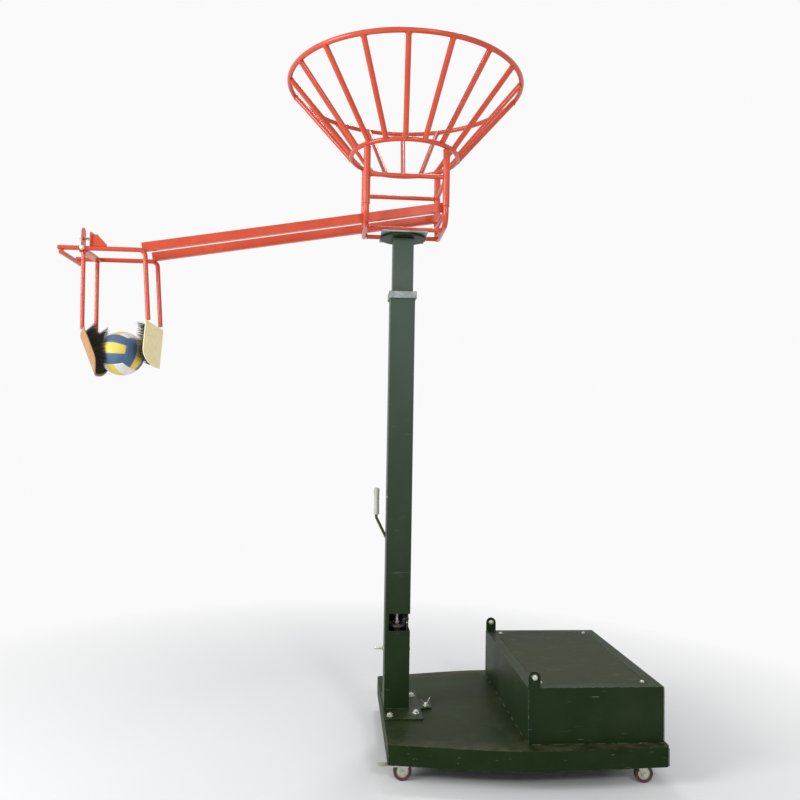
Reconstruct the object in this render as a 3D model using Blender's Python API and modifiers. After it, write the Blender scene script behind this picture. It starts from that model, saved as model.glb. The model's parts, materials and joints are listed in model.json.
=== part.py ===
# Volleyball spike trainer: a ball drops through a wire funnel, rolls down two rails and is held
# between two bristle pads on a mast that a lead screw raises. Metres, +Z up, floor at z = 0.
# The mast's axis is the vertical line x = 0, y = 0 of the empty "trainer", the ballast box is
# toward +X and the ball holder toward -X.
import bpy
import bmesh
from math import cos, sin, pi, radians, sqrt, hypot, atan2
from mathutils import Vector, Matrix

for old in list(bpy.data.objects):
    bpy.data.objects.remove(old)

# Clearances
GAP = 0.0003
RUN = 0.0006
MERGE = 0.00005
OFF_FACET = 0.13          # turns a bar a little, so that its edges miss those of its neighbour
MAST_X = 0.236            # puts the middle of the whole length on the origin

# Ball and the height at which it waits
BALL_R = 0.105
BALL_X, BALL_Z = -1.346, 1.860

# Base deck, boat shaped: distance along x and half width there
DECK_TOP, DECK_T = 0.176, 0.004
SKIRT_BOTTOM = 0.090
DECK_SIDE = [(-0.065, 0.0), (-0.065, 0.460), (0.03, 0.476), (0.14, 0.4965), (0.22, 0.512),
             (0.30, 0.5265), (0.38, 0.5395), (0.46, 0.549), (0.54, 0.5535), (0.62, 0.552),
             (0.75, 0.5455), (0.90, 0.538), (1.145, 0.525), (1.145, 0.0)]
DECK_CORNER_R = 0.022
CHANNEL_W, CHANNEL_H, CHANNEL_T = 0.100, 0.027, 0.004

# Casters: x and half spacing of the swivel pins, trail of the wheel and its way
WHEEL_R, WHEEL_W = 0.040, 0.028
CASTER_TRAIL = 0.022
LEFT_CASTER, RIGHT_CASTER = (0.026, 0.395), (1.030, 0.458)
CASTER_PLATE_T, RACE_H = 0.005, 0.010
FORK_T, FORK_HALF_W = 0.003, 0.0205
AXLE_R = 0.005
PEDAL_Z = 0.067

# Ballast box
BOX_X0, BOX_X1, BOX_HALF_Y = 0.535, 1.135, 0.480
BOX_TOP, BOX_T = 0.415, 0.004
LID_X0, LID_X1, LID_HALF_Y, LID_T = 0.5845, 1.0815, 0.4315, 0.004
LID_PLAY, LEDGE_W, LEDGE_T = 0.0015, 0.030, 0.004
LID_SCREW_IN, LID_SCREW_R = 0.018, 0.0035
LUG_R, LUG_T, LUG_RISE = 0.0265, 0.006, 0.045
LUG_BOLT_R, LUG_BOLT_H = 0.0135, 0.007
SLAB_X0, SLAB_X1, SLAB_HALF_Y, SLAB_H = 0.560, 1.110, 0.450, 0.050

# Mast
OUTER_W, INNER_W, MAST_T = 0.120, 0.100, 0.004
FOOT_T = 0.008
FOOT_BOLTS = [(0.088, -0.118), (0.088, 0.118), (-0.036, -0.150), (-0.036, 0.150)]
WING_BOLT = (0.145, -0.020)
OUTER_TOP, COLLAR_TOP = 2.1577, 2.193
INNER_BOTTOM, INNER_TOP = 0.705, 2.460
WINDOW_Z0, WINDOW_Z1, WINDOW_X0, WINDOW_Y1 = 0.552, 0.632, -0.042, 0.030
SCREW_R, JOURNAL_R = 0.011, 0.009
SCREW_BOTTOM, THREAD_BOTTOM, SCREW_TOP = 0.480, 0.625, 1.955
BLOCK_Z0, BLOCK_Z1 = 0.425, 0.525
BLOCK_BOLT_Z, BLOCK_BOLT_R = 0.455, 0.006
CROWN_TEETH, PINION_TEETH = 20, 10
CROWN_Z, CROWN_R, HUB_DEPTH = 0.574, 0.041, 0.046
PINION_Z, PINION_R, PINION_ROOT_R = 0.595, 0.019, 0.0145

# Head and cage
DISC_R, DISC_T = 0.1125, 0.0115
PLATE_W, PLATE_T = 0.225, 0.009
CAGE_X, CAGE_Y = 0.190, 0.175
POST_R, CAGE_R, BAR_R = 0.0165, 0.0135, 0.011
POST_BOTTOM, CAGE_LOW_Z, CAGE_BEND_R = 2.587, 2.5009, 0.060
TOP_BAR_Z, BOTTOM_BAR_Y = 2.727, 0.085

# Funnel
RIM_R, RIM_Z, RIM_TUBE = 0.5755, 3.222, 0.0120
THROAT_R, THROAT_Z, THROAT_TUBE = 0.265, 2.870, 0.0115
RIBS, RIB_R, RIB_TURN = 18, 0.013, 0.33

# Rails: their top edges lie on the line z = RAIL_Z0 + RAIL_SLOPE * x
RAIL_Z0, RAIL_SLOPE = 2.591, 0.1735
RAIL_W, RAIL_H, RAIL_T = 0.025, 0.043, 0.002
RAIL_OUTER_Y, RAIL_X0, RAIL_X1 = 0.112, -1.240, 0.203

# Ball holder
ARM_R, ROD_R = 0.011, 0.010
ARM_Y, ARM_Z, ARM_X0, ARM_BEND_X, ARM_BEND_R = 0.1235, 2.3375, -1.617, -1.222, 0.030
PIVOT_X, PIVOT_TUBE_R = -1.505, 0.010
JAW_ROD_Y = 0.103
BOLT_Y, BOLT_Z, BOLT_R = -0.0850, 2.391, 0.003
LEVER_X, LEVER_T, LEVER_W, LEVER_TOP = -1.516, 0.006, 0.050, 2.443
BRACKET_X, BRACKET_TOP, BRACE_X1 = -1.470, 2.415, -1.396
SPRING_R, SPRING_WIRE_R, SPRING_TURNS = 0.0070, 0.0010, 6

# Pads: cups with a concave top edge and round lower corners; r is the radius of the cup
PAD_H, PAD_T = 0.215, 0.005
PAD_DIP, PAD_ROUND = 0.028, 0.085
FIXED_PAD = dict(x=-1.205, z=2.010, r=0.210, half=0.1325, tilt=radians(4), side=1)
JAW_PAD = dict(x=-1.490, z=1.968, r=0.165, half=0.125, tilt=radians(22), side=-1)
BRISTLE_GAP, BRISTLE_STEP, BRISTLE_TAPER = 0.0006, 0.00025, 0.45
BRISTLE_MIN, BRISTLE_FREE, BRISTLE_MAX = 0.004, 0.060, 0.090
FACET_GAP = 0.0009

# Crank, stored upright behind the mast
CRANK_Y, CRANK_R = 0.080, 0.007
CRANK_X, GRIP_X = -0.020, -0.105
CRANK_LOW, CRANK_BEND, GRIP_LOW, CRANK_HIGH = 0.725, 0.910, 1.078, 1.225
EYE_Z = (0.770, 0.887)

parts = bpy.data.collections.new("volleyball_spike_trainer")
cutters = bpy.data.collections.new("cutters")
bpy.context.scene.collection.children.link(parts)
bpy.context.scene.collection.children.link(cutters)
trainer = bpy.data.objects.new("trainer", None)
trainer.location = (MAST_X, 0, 0)
parts.objects.link(trainer)


def paint(name, colour, roughness, metallic=0.0):
    """A plain Principled material."""
    mat = bpy.data.materials.new(name)
    mat.use_nodes = True
    shader = mat.node_tree.nodes["Principled BSDF"]
    shader.inputs["Base Color"].default_value = (*colour, 1)
    shader.inputs["Roughness"].default_value = roughness
    shader.inputs["Metallic"].default_value = metallic
    mat.diffuse_color = (*colour, 1)
    return mat


GREEN = dict(colour=(0.021, 0.034, 0.019), roughness=0.45)
OLIVE = dict(colour=(0.052, 0.060, 0.034), roughness=0.5)
RED = dict(colour=(0.752, 0.102, 0.045), roughness=0.35)
TAN = dict(colour=(0.800, 0.670, 0.376), roughness=0.5)
BLACK = dict(colour=(0.012, 0.015, 0.011), roughness=0.8)
ZINC = dict(colour=(0.376, 0.392, 0.352), roughness=0.35, metallic=0.9)
STEEL = dict(colour=(0.560, 0.570, 0.580), roughness=0.3, metallic=1.0)
IRON = dict(colour=(0.060, 0.058, 0.055), roughness=0.75, metallic=0.6)
TYRE = dict(colour=(0.102, 0.032, 0.027), roughness=0.6)
NYLON = dict(colour=(0.700, 0.690, 0.640), roughness=0.5)
GRIP = dict(colour=(0.500, 0.520, 0.500), roughness=0.55)
BRASS = dict(colour=(0.480, 0.350, 0.140), roughness=0.4, metallic=1.0)
LEATHER = dict(colour=(0.072, 0.141, 0.304), roughness=0.5)


def settle(obj, look, keep=True):
    """Link an object under the trainer's empty with its own material, or among the cutters."""
    for group in list(obj.users_collection):
        group.objects.unlink(obj)
    if keep:
        parts.objects.link(obj)
        obj.data.materials.clear()
        obj.data.materials.append(paint(obj.name, **look))
    else:
        cutters.objects.link(obj)
        obj.hide_render = True
        obj.display_type = 'WIRE'
    if obj.parent is None:
        obj.parent = trainer
    return obj


def solid(name, bm, look, place=(0, 0, 0), turn=(0, 0, 0), keep=True):
    """An object from a bmesh."""
    mesh = bpy.data.meshes.new(name)
    bm.to_mesh(mesh)
    bm.free()
    obj = bpy.data.objects.new(name, mesh)
    obj.location, obj.rotation_euler = place, turn
    parts.objects.link(obj)
    return settle(obj, look, keep)


def box(name, low, high, look=ZINC, keep=True):
    """A box between two corners, with its origin at its middle."""
    low, high = Vector(low), Vector(high)
    bm = bmesh.new()
    bmesh.ops.create_cube(bm, size=1)
    bmesh.ops.scale(bm, vec=high - low, verts=bm.verts)
    return solid(name, bm, look, (low + high) / 2, keep=keep)


AXES = {"x": (0, pi / 2, 0), "y": (-pi / 2, 0, 0), "z": (0, 0, 0)}


def rod(name, radius, start, end, look=ZINC, sides=16, keep=True):
    """A round bar between two points."""
    start, end = Vector(start), Vector(end)
    bm = bmesh.new()
    bmesh.ops.create_cone(bm, cap_ends=True, segments=sides, radius1=radius, radius2=radius,
                          depth=(end - start).length)
    turn = (end - start).to_track_quat('Z', 'Y').to_euler()
    obj = solid(name, bm, look, (start + end) / 2, turn, keep)
    obj.data.shade_smooth()
    obj.data.set_sharp_from_angle(angle=radians(40))
    return obj


def turned(name, profile, look, place=(0, 0, 0), axis="z", sides=20, closed=False, keep=True):
    """A profile of (radius, height) points turned round its own Z; closed for a ring."""
    bm = bmesh.new()
    points = [bm.verts.new((r, 0, z)) for r, z in profile]
    for a, b in zip(points, points[1:] + points[:1] if closed else points[1:]):
        bm.edges.new((a, b))
    obj = solid(name, bm, look, place, AXES[axis], keep)
    screw = obj.modifiers.new("turn", 'SCREW')
    screw.steps = screw.render_steps = sides
    screw.use_merge_vertices = True
    screw.merge_threshold = MERGE
    screw.use_smooth_shade = True
    return obj


def bolt(name, head_r, head_h, shank_r, shank_l, place, axis="z", flip=False, look=ZINC):
    """A six-sided head standing on its place, with its shank running below it."""
    top, low = (head_h, -shank_l)
    profile = [(0, top), (head_r, top), (head_r, 0), (shank_r, 0), (shank_r, low), (0, low)]
    obj = turned(name, profile, look, place, axis, sides=6)
    if flip:
        obj.rotation_euler.rotate_axis('X', pi)
    return obj


def rounded(points, radius, steps=4, closed=False):
    """The path through points with each corner turned on an arc of about this radius."""
    points = [Vector(p) for p in points]
    path = [] if closed else [points[0]]
    count = len(points)
    for i in range(count if closed else count - 2):
        a, b, c = (points[i - 1], points[i], points[(i + 1) % count]) if closed \
            else points[i:i + 3]
        into, out = (b - a).normalized(), (c - b).normalized()
        bend = into.angle(out)
        if bend < radians(6):
            path.append(b)
            continue
        middle_out = (out - into).normalized()
        centre = b + middle_out * radius / cos(bend / 2)
        spin = into.cross(out).normalized()
        start = b - into * radius * (sin(bend / 2) / cos(bend / 2)) - centre
        path += [centre + Matrix.Rotation(bend * k / steps, 3, spin) @ start
                 for k in range(steps + 1)]
    return path if closed else path + [points[-1]]


def evaluated(obj, name, look, keep=True):
    """Replace a curve or a stack of modifiers by its finished mesh."""
    bpy.context.view_layer.update()
    ready = obj.evaluated_get(bpy.context.evaluated_depsgraph_get())
    mesh = bpy.data.meshes.new_from_object(ready)
    bm = bmesh.new()
    bm.from_mesh(mesh)
    bmesh.ops.remove_doubles(bm, verts=bm.verts, dist=MERGE)
    bm.to_mesh(mesh)
    bm.free()
    place, parent = obj.matrix_local.copy(), obj.parent
    bpy.data.objects.remove(obj)
    new = bpy.data.objects.new(name, mesh)
    mesh.name = name
    parts.objects.link(new)
    new.parent = parent
    new.matrix_local = place
    return settle(new, look, keep)


def bent_tube(name, points, radius, look, resolution=2, fixed=False):
    """A round bar along a path, as a curve, or as a mesh when it is fixed for cutting."""
    data = bpy.data.curves.new(name, 'CURVE')
    data.dimensions = '3D'
    data.bevel_depth = radius
    data.bevel_resolution = resolution
    data.use_fill_caps = True
    line = data.splines.new('POLY')
    line.points.add(len(points) - 1)
    for point, p in zip(line.points, points):
        point.co = (*p, 1)
    obj = bpy.data.objects.new(name, data)
    parts.objects.link(obj)
    settle(obj, look)
    return evaluated(obj, name, look) if fixed else obj


def plate(name, outlines, thickness, place, look, turn=(0, 0, 0), fixed=False, keep=True):
    """A flat sheet from its outline and those of its holes, centred on its own XY plane."""
    data = bpy.data.curves.new(name, 'CURVE')
    data.dimensions = '2D'
    data.fill_mode = 'BOTH'
    data.extrude = thickness / 2
    for outline in outlines:
        line = data.splines.new('POLY')
        line.points.add(len(outline) - 1)
        line.use_cyclic_u = True
        for point, p in zip(line.points, outline):
            point.co = (p[0], p[1], 0, 1)
    obj = bpy.data.objects.new(name, data)
    obj.location, obj.rotation_euler = place, turn
    parts.objects.link(obj)
    settle(obj, look)
    return evaluated(obj, name, look, keep) if fixed or not keep else obj


def circle(x, y, radius, sides=16):
    return [(x + radius * cos(2 * pi * k / sides), y + radius * sin(2 * pi * k / sides))
            for k in range(sides)]


def rectangle(width, height, x=0, y=0):
    w, h = width / 2, height / 2
    return [(x - w, y - h), (x + w, y - h), (x + w, y + h), (x - w, y + h)]


def boolean(obj, others, operation):
    """Cut the others from an object, or join them to it."""
    for other in others:
        if other.name not in cutters.objects:
            settle(other, ZINC, keep=False)
        cut = obj.modifiers.new(operation.lower(), 'BOOLEAN')
        cut.operation, cut.object = operation, other
    return obj


def cut(obj, *others):
    return boolean(obj, others, 'DIFFERENCE')


def join(obj, *others):
    return boolean(obj, others, 'UNION')


# Base

def deck_outline():
    side = DECK_SIDE
    full = side + [(x, -y) for x, y in reversed(side[1:-1])]
    path = rounded([(x, y, 0) for x, y in full], DECK_CORNER_R, 3, closed=True)
    return [(p.x, p.y) for p in path]


def base_deck():
    """Pressed sheet with a skirt, and a channel across it over each pair of casters."""
    bm = bmesh.new()
    rim = [bm.verts.new((x, y, DECK_TOP)) for x, y in deck_outline()]
    top = bm.faces.new(rim)
    if top.normal.z < 0:
        top.normal_flip()
    low = bmesh.ops.extrude_edge_only(bm, edges=top.edges[:])["geom"]
    drop = [v for v in low if isinstance(v, bmesh.types.BMVert)]
    bmesh.ops.translate(bm, vec=(0, 0, SKIRT_BOTTOM - DECK_TOP), verts=drop)
    bmesh.ops.recalc_face_normals(bm, faces=bm.faces)
    if top.normal.z < 0:
        bmesh.ops.reverse_faces(bm, faces=bm.faces)
    deck = solid("base_deck", bm, GREEN)
    shell = deck.modifiers.new("sheet", 'SOLIDIFY')
    shell.thickness, shell.offset, shell.use_even_offset = DECK_T, -1, True
    under = DECK_TOP - DECK_T
    channels = []
    for x, half_y in (LEFT_CASTER, RIGHT_CASTER):
        w, h, t = CHANNEL_W / 2, CHANNEL_H, CHANNEL_T
        profile = [(-w, 0), (w, 0), (w, h + t / 2), (w - t, h + t / 2), (w - t, t), (t - w, t),
                   (t - w, h + t / 2), (-w, h + t / 2)]
        channels.append(plate("channel", [profile], 2 * half_y + 0.09,
                              (x, 0, under - h), ZINC, (pi / 2, 0, 0), keep=False))
    join(deck, *channels)
    cut(deck, *[rod("hole", 0.0055, (x, y, DECK_TOP - 0.021), (x, y, DECK_TOP + 0.009),
                    sides=8, keep=False)
                for x, y in FOOT_BOLTS + [WING_BOLT]])


def mast_foot():
    """Foot plate with a tongue to the right, bored for its bolts, and the wing bolt there."""
    outline = [(-0.062, -0.190), (0.115, -0.190), (0.115, -0.060), (0.172, -0.045),
               (0.172, 0.045), (0.115, 0.060), (0.115, 0.190), (-0.062, 0.190)]
    holes = [circle(x, y, 0.0055, 8) for x, y in FOOT_BOLTS + [WING_BOLT]]
    z = DECK_TOP + GAP + FOOT_T / 2
    plate("mast_foot_plate", [outline] + holes, FOOT_T, (0, 0, z), GREEN, fixed=True)
    top = z + FOOT_T / 2 + GAP
    wing = bolt("foot_wing_bolt", 0.009, 0.010, 0.005, 0.022, (*WING_BOLT, top))
    ears = plate("wings", [[(-0.022, 0.020), (-0.006, 0.001), (0.006, 0.001), (0.022, 0.020),
                            (0.012, 0.026), (-0.012, 0.026)]], 0.004,
                 (*WING_BOLT, top), ZINC, (pi / 2, 0, 0), keep=False)
    join(wing, ears)


def lid_screws():
    xs = (LID_X0 + LID_SCREW_IN, LID_X1 - LID_SCREW_IN)
    return [(x, side * (LID_HALF_Y - LID_SCREW_IN)) for x in xs for side in (-1, 1)]


def ballast_box():
    """Sheet box welded to the deck, with a rebate for the lid and two lugs with their bolts."""
    y, t = BOX_HALF_Y, BOX_T
    z0 = DECK_TOP + GAP
    seat = BOX_TOP - LID_T - GAP
    body = box("ballast_box", (BOX_X0, -y, z0), (BOX_X1, y, BOX_TOP), GREEN)
    hollow = box("box_hollow", (BOX_X0 + t, t - y, z0 + t), (BOX_X1 - t, y - t, seat - LEDGE_T),
                 keep=False)
    x0, x1, half = LID_X0 - LID_PLAY, LID_X1 + LID_PLAY, LID_HALF_Y + LID_PLAY
    rebate = box("rebate", (x0, -half, seat), (x1, half, BOX_TOP + t), keep=False)
    half -= LEDGE_W
    mouth = box("mouth", (x0 + LEDGE_W, -half, seat - 3 * LEDGE_T), (x1 - LEDGE_W, half,
                BOX_TOP), keep=False)
    holes = [rod("screw_hole", LID_SCREW_R, (x, y, seat - 3 * LEDGE_T), (x, y, BOX_TOP),
                 sides=8, keep=False) for x, y in lid_screws()]
    cut(body, hollow, rebate, mouth, *holes)
    x, z = BOX_X0 + LUG_R, BOX_TOP + LUG_RISE
    arc = [(x + LUG_R * cos(a), z + LUG_R * sin(a)) for a in [pi * k / 8 for k in range(9)]]
    outline = arc + [(x - LUG_R, BOX_TOP - 0.006), (x + LUG_R, BOX_TOP - 0.006)]
    lugs = []
    for side in (-1, 1):
        outer, inner = side * (y - 0.0002), side * (y - LUG_T)
        lugs.append(plate("lug", [outline], LUG_T - 0.0002, (0, (outer + inner) / 2, 0), GREEN,
                          (pi / 2, 0, 0), keep=False))
        lugs.append(rod("lug_bolt", LUG_BOLT_R, (x, inner - side * 0.006, z),
                        (x, outer + side * LUG_BOLT_H, z), sides=14, keep=False))
    join(body, *lugs)


def ballast_lid():
    """Flush lid, bored for its four screws."""
    middle = (LID_X0 + LID_X1) / 2
    holes = [circle(x - middle, y, LID_SCREW_R, 8) for x, y in lid_screws()]
    plate("ballast_lid", [rectangle(LID_X1 - LID_X0, 2 * LID_HALF_Y)] + holes, LID_T,
          (middle, 0, BOX_TOP - LID_T / 2), OLIVE, fixed=True)


def ballast_block():
    """Cast iron slab lying in the box."""
    z = DECK_TOP + BOX_T + 0.001
    box("ballast_block", (SLAB_X0, -SLAB_HALF_Y, z), (SLAB_X1, SLAB_HALF_Y, z + SLAB_H), IRON)


# Casters

def caster_heights():
    plate_top = DECK_TOP - DECK_T - CHANNEL_H - GAP
    race = plate_top - CASTER_PLATE_T
    return plate_top, race, race - RACE_H - GAP


def caster_plate(name, x, y):
    """Top plate with the race that the fork turns on."""
    plate_top, race, _ = caster_heights()
    top = plate(name + "_plate", [rectangle(0.085, 0.060)], CASTER_PLATE_T,
                (x, y, plate_top - CASTER_PLATE_T / 2), ZINC, fixed=True)
    ring = turned("race", [(0, 0.001), (0.022, 0.001), (0.026, -RACE_H / 2), (0.022, -RACE_H),
                           (0, -RACE_H)], ZINC, (x, y, race), sides=14, keep=False)
    join(top, ring)


def caster(name, x, y, side, braked):
    """Plate, fork with its axle, wheel and on the left pair a pedal; side is the trailing way."""
    caster_plate(name, x, y)
    _, _, top = caster_heights()
    pin = bpy.data.objects.new(name + "_pin", None)
    pin.location, pin.parent = (x, y, 0), trainer
    parts.objects.link(pin)
    bpy.context.view_layer.update()
    trail = side * CASTER_TRAIL
    boss = 0.0115
    arc = [(trail + boss * cos(a), WHEEL_R + boss * sin(a))
           for a in [pi + pi * k / 6 for k in range(7)]]
    leg = arc + [(0.034, top - 0.018), (0.030, top), (-0.030, top), (-0.034, top - 0.018)]
    legs = []
    for face in (-1, 1):
        leg_y = face * (FORK_HALF_W - FORK_T / 2)
        legs.append(plate("leg", [leg], FORK_T, (0, leg_y, 0), ZINC, (pi / 2, 0, 0),
                          keep=False))
    end = FORK_HALF_W + GAP
    axle = turned("axle", [(0, end + 0.006), (0.009, end + 0.006), (0.009, end - 0.001),
                  (AXLE_R, end - 0.001), (AXLE_R, 0.001 - end), (0.009, 0.001 - end),
                  (0.009, -end - 0.006), (0, -end - 0.006)], ZINC, (trail, 0, WHEEL_R), "y", 10,
                  keep=False)
    fork = plate(name + "_fork", [rectangle(0.060, 2 * FORK_HALF_W)], FORK_T,
                 (0, 0, top - FORK_T / 2), ZINC, fixed=True)
    join(fork, *legs, axle)
    hub_w = FORK_HALF_W - FORK_T - RUN
    side_r, web_r = WHEEL_R - 0.005, WHEEL_R - 0.011
    wheel = turned(name + "_wheel", [(AXLE_R + GAP, hub_w), (0.014, hub_w), (web_r, 0.009),
                   (side_r, WHEEL_W / 2), (WHEEL_R, 0.009), (WHEEL_R, -0.009),
                   (side_r, -WHEEL_W / 2), (web_r, -0.009), (0.014, -hub_w),
                   (AXLE_R + GAP, -hub_w)], TYRE, (trail, 0, WHEEL_R), "y", 16, closed=True)
    pieces = [fork, wheel, axle, *legs]
    if braked:
        pedal = plate(name + "_brake_pedal", [[(0.0, -0.017), (0.050, -0.020), (0.060, -0.012),
                      (0.060, 0.012), (0.050, 0.020), (0.0, 0.017)]], 0.004,
                      (side * 0.072, 0, PEDAL_Z), ZINC, (0, 0, 0 if side > 0 else pi), fixed=True)
        ends = sorted((side * 0.0346, side * 0.0740))
        arms = [box("arm", (ends[0], face * 0.0185 - 0.0015, PEDAL_Z - 0.0045),
                    (ends[1], face * 0.0185 + 0.0015, PEDAL_Z + 0.0012), keep=False)
                for face in (-1, 1)]
        pieces += [join(pedal, *arms), *arms]
    for piece in pieces:
        piece.parent = pin


# Mast

def mast():
    """Outer tube with its gear window, the collar and its liner, and the sliding inner tube."""
    z0 = DECK_TOP + FOOT_T + 2 * GAP
    hollow = OUTER_W - 2 * MAST_T
    outer = plate("outer_mast", [rectangle(OUTER_W, OUTER_W), rectangle(hollow, hollow)],
                  OUTER_TOP - z0, (0, 0, (OUTER_TOP + z0) / 2), GREEN, fixed=True)
    window = box("mast_window", (WINDOW_X0, -0.08, WINDOW_Z0), (0.08, WINDOW_Y1, WINDOW_Z1),
                 keep=False)
    hole = rod("bolt_hole", BLOCK_BOLT_R + GAP, (-0.08, 0, BLOCK_BOLT_Z),
               (0.08, 0, BLOCK_BOLT_Z), sides=10, keep=False)
    cut(outer, window, hole)
    z0, z1 = OUTER_TOP + GAP, COLLAR_TOP
    plate("mast_collar", [rectangle(0.135, 0.135), rectangle(0.110, 0.110)], z1 - z0,
          (0, 0, (z0 + z1) / 2), ZINC, fixed=True)
    liner = INNER_W + 2 * RUN
    plate("collar_liner", [rectangle(0.1094, 0.1094), rectangle(liner, liner)], z1 - z0,
          (0, 0, (z0 + z1) / 2), NYLON, fixed=True)
    hollow = INNER_W - 2 * MAST_T
    plate("inner_mast", [rectangle(INNER_W, INNER_W), rectangle(hollow, hollow)],
          INNER_TOP - INNER_BOTTOM, (0, 0, (INNER_TOP + INNER_BOTTOM) / 2), GREEN, fixed=True)


def lift_screw():
    """Lead screw on its bearing, the nut in the inner tube, and the bevel gears."""
    turned("lead_screw", [(0, SCREW_TOP), (SCREW_R - 0.003, SCREW_TOP), (SCREW_R, SCREW_TOP
           - 0.006), (SCREW_R, THREAD_BOTTOM), (JOURNAL_R, THREAD_BOTTOM - 0.004),
           (JOURNAL_R, SCREW_BOTTOM), (0, SCREW_BOTTOM)], STEEL, sides=16)
    w = INNER_W / 2 - MAST_T - GAP
    nut = box("lift_nut", (-w, -w, INNER_BOTTOM), (w, w, INNER_BOTTOM + 0.018), BRASS)
    boss = turned("nut_boss", [(0, 0.046), (0.020, 0.046), (0.024, 0.040), (0.024, -0.001),
                  (0, -0.001)], BRASS, (0, 0, INNER_BOTTOM + 0.018), sides=16, keep=False)
    bore = rod("nut_bore", SCREW_R + RUN, (0, 0, INNER_BOTTOM - 0.01),
               (0, 0, INNER_BOTTOM + 0.08), sides=16, keep=False)
    cut(join(nut, boss), bore)
    w = OUTER_W / 2 - MAST_T - GAP
    block = box("gear_block", (-w, -w, BLOCK_Z0), (w, w, BLOCK_Z1), IRON)
    post = box("pinion_post", (0.044, -0.018, BLOCK_Z1 - 0.001), (0.052, 0.018, PINION_Z
               + 0.018),
               keep=False)
    seat = rod("screw_seat", JOURNAL_R + GAP, (0, 0, SCREW_BOTTOM - GAP), (0, 0, BLOCK_Z1 + 0.02),
               sides=16, keep=False)
    shaft = rod("shaft_seat", 0.0065 + GAP, (0.03, 0, PINION_Z), (0.07, 0, PINION_Z), sides=12,
                keep=False)
    cross = rod("cross_seat", BLOCK_BOLT_R + GAP, (-0.08, 0, BLOCK_BOLT_Z),
                (0.08, 0, BLOCK_BOLT_Z), sides=10, keep=False)
    cut(join(block, post), seat, shaft, cross)
    end = OUTER_W / 2 + GAP
    turned("gear_block_bolt", [(0, end + 0.048), (BLOCK_BOLT_R, end + 0.048), (BLOCK_BOLT_R, -end),
           (0.010, -end), (0.010, -end - 0.007), (0, -end - 0.007)], ZINC,
           (0, 0, BLOCK_BOLT_Z), "x", 10).rotation_euler = (0, -pi / 2, 0)
    crown_gear()
    drive_pinion()


def raise_teeth(obj, wanted, height, inset, taper):
    """Raise a tooth on each wanted face of a blank."""
    bm = bmesh.new()
    bm.from_mesh(obj.data)
    bm.faces.ensure_lookup_table()
    bm.normal_update()
    faces = [f for f in bm.faces if wanted(f)]
    bmesh.ops.inset_individual(bm, faces=faces, thickness=inset)
    for top in bmesh.ops.extrude_discrete_faces(bm, faces=faces)["faces"]:
        bm.normal_update()
        middle, out = top.calc_center_median(), top.normal.copy()
        for v in top.verts:
            v.co = middle + (v.co - middle) * taper + out * height
    bm.to_mesh(obj.data)
    bm.free()


def crown_gear():
    """Bevel gear with its teeth up, keyed on the screw."""
    bore, hub_end = JOURNAL_R + GAP, CROWN_Z - HUB_DEPTH
    blank = turned("crown_blank", [(bore, CROWN_Z), (0.026, CROWN_Z), (CROWN_R, CROWN_Z),
                   (CROWN_R, CROWN_Z - 0.010), (0.020, CROWN_Z - 0.014), (0.018, hub_end),
                   (bore, hub_end)], STEEL, sides=2 * CROWN_TEETH, closed=True)
    gear = evaluated(blank, "crown_gear", STEEL)
    step = pi / CROWN_TEETH

    def on_ring(face):
        middle = face.calc_center_median()
        sector = int((atan2(middle.y, middle.x) % (2 * pi)) / step)
        return face.normal.z > 0.9 and hypot(middle.x, middle.y) > 0.03 and sector % 2
    raise_teeth(gear, on_ring, 0.005, 0.0012, 0.75)
    gear.rotation_euler = (0, 0, -step / 2)


def drive_pinion():
    """Small gear on its shaft, whose square end takes the crank."""
    blank = turned("pinion_blank", [(0, 0.0395), (PINION_ROOT_R, 0.0395), (PINION_ROOT_R, 0.028),
                   (0.011, 0.026), (0, 0.026)], STEEL, sides=2 * PINION_TEETH)
    gear = evaluated(blank, "pinion_teeth", STEEL)
    step = pi / PINION_TEETH

    def on_rim(face):
        middle = face.calc_center_median()
        sector = int((atan2(middle.y, middle.x) % (2 * pi)) / step)
        return abs(face.normal.z) < 0.1 and sector % 2
    raise_teeth(gear, on_rim, PINION_R - PINION_ROOT_R, 0.0008, 0.7)
    shaft = turned("pinion_shaft", [(0, 0.0585), (0.0065, 0.0585), (0.0065, 0.038), (0, 0.038)],
                   STEEL, sides=12, keep=False)
    join(gear, shaft)
    for piece in (gear, shaft):
        piece.location = (0, 0, PINION_Z)
        piece.rotation_euler = (0, pi / 2, 0)
    gear.name = "drive_pinion"
    gear.rotation_euler.rotate_axis('Z', step / 2)


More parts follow.
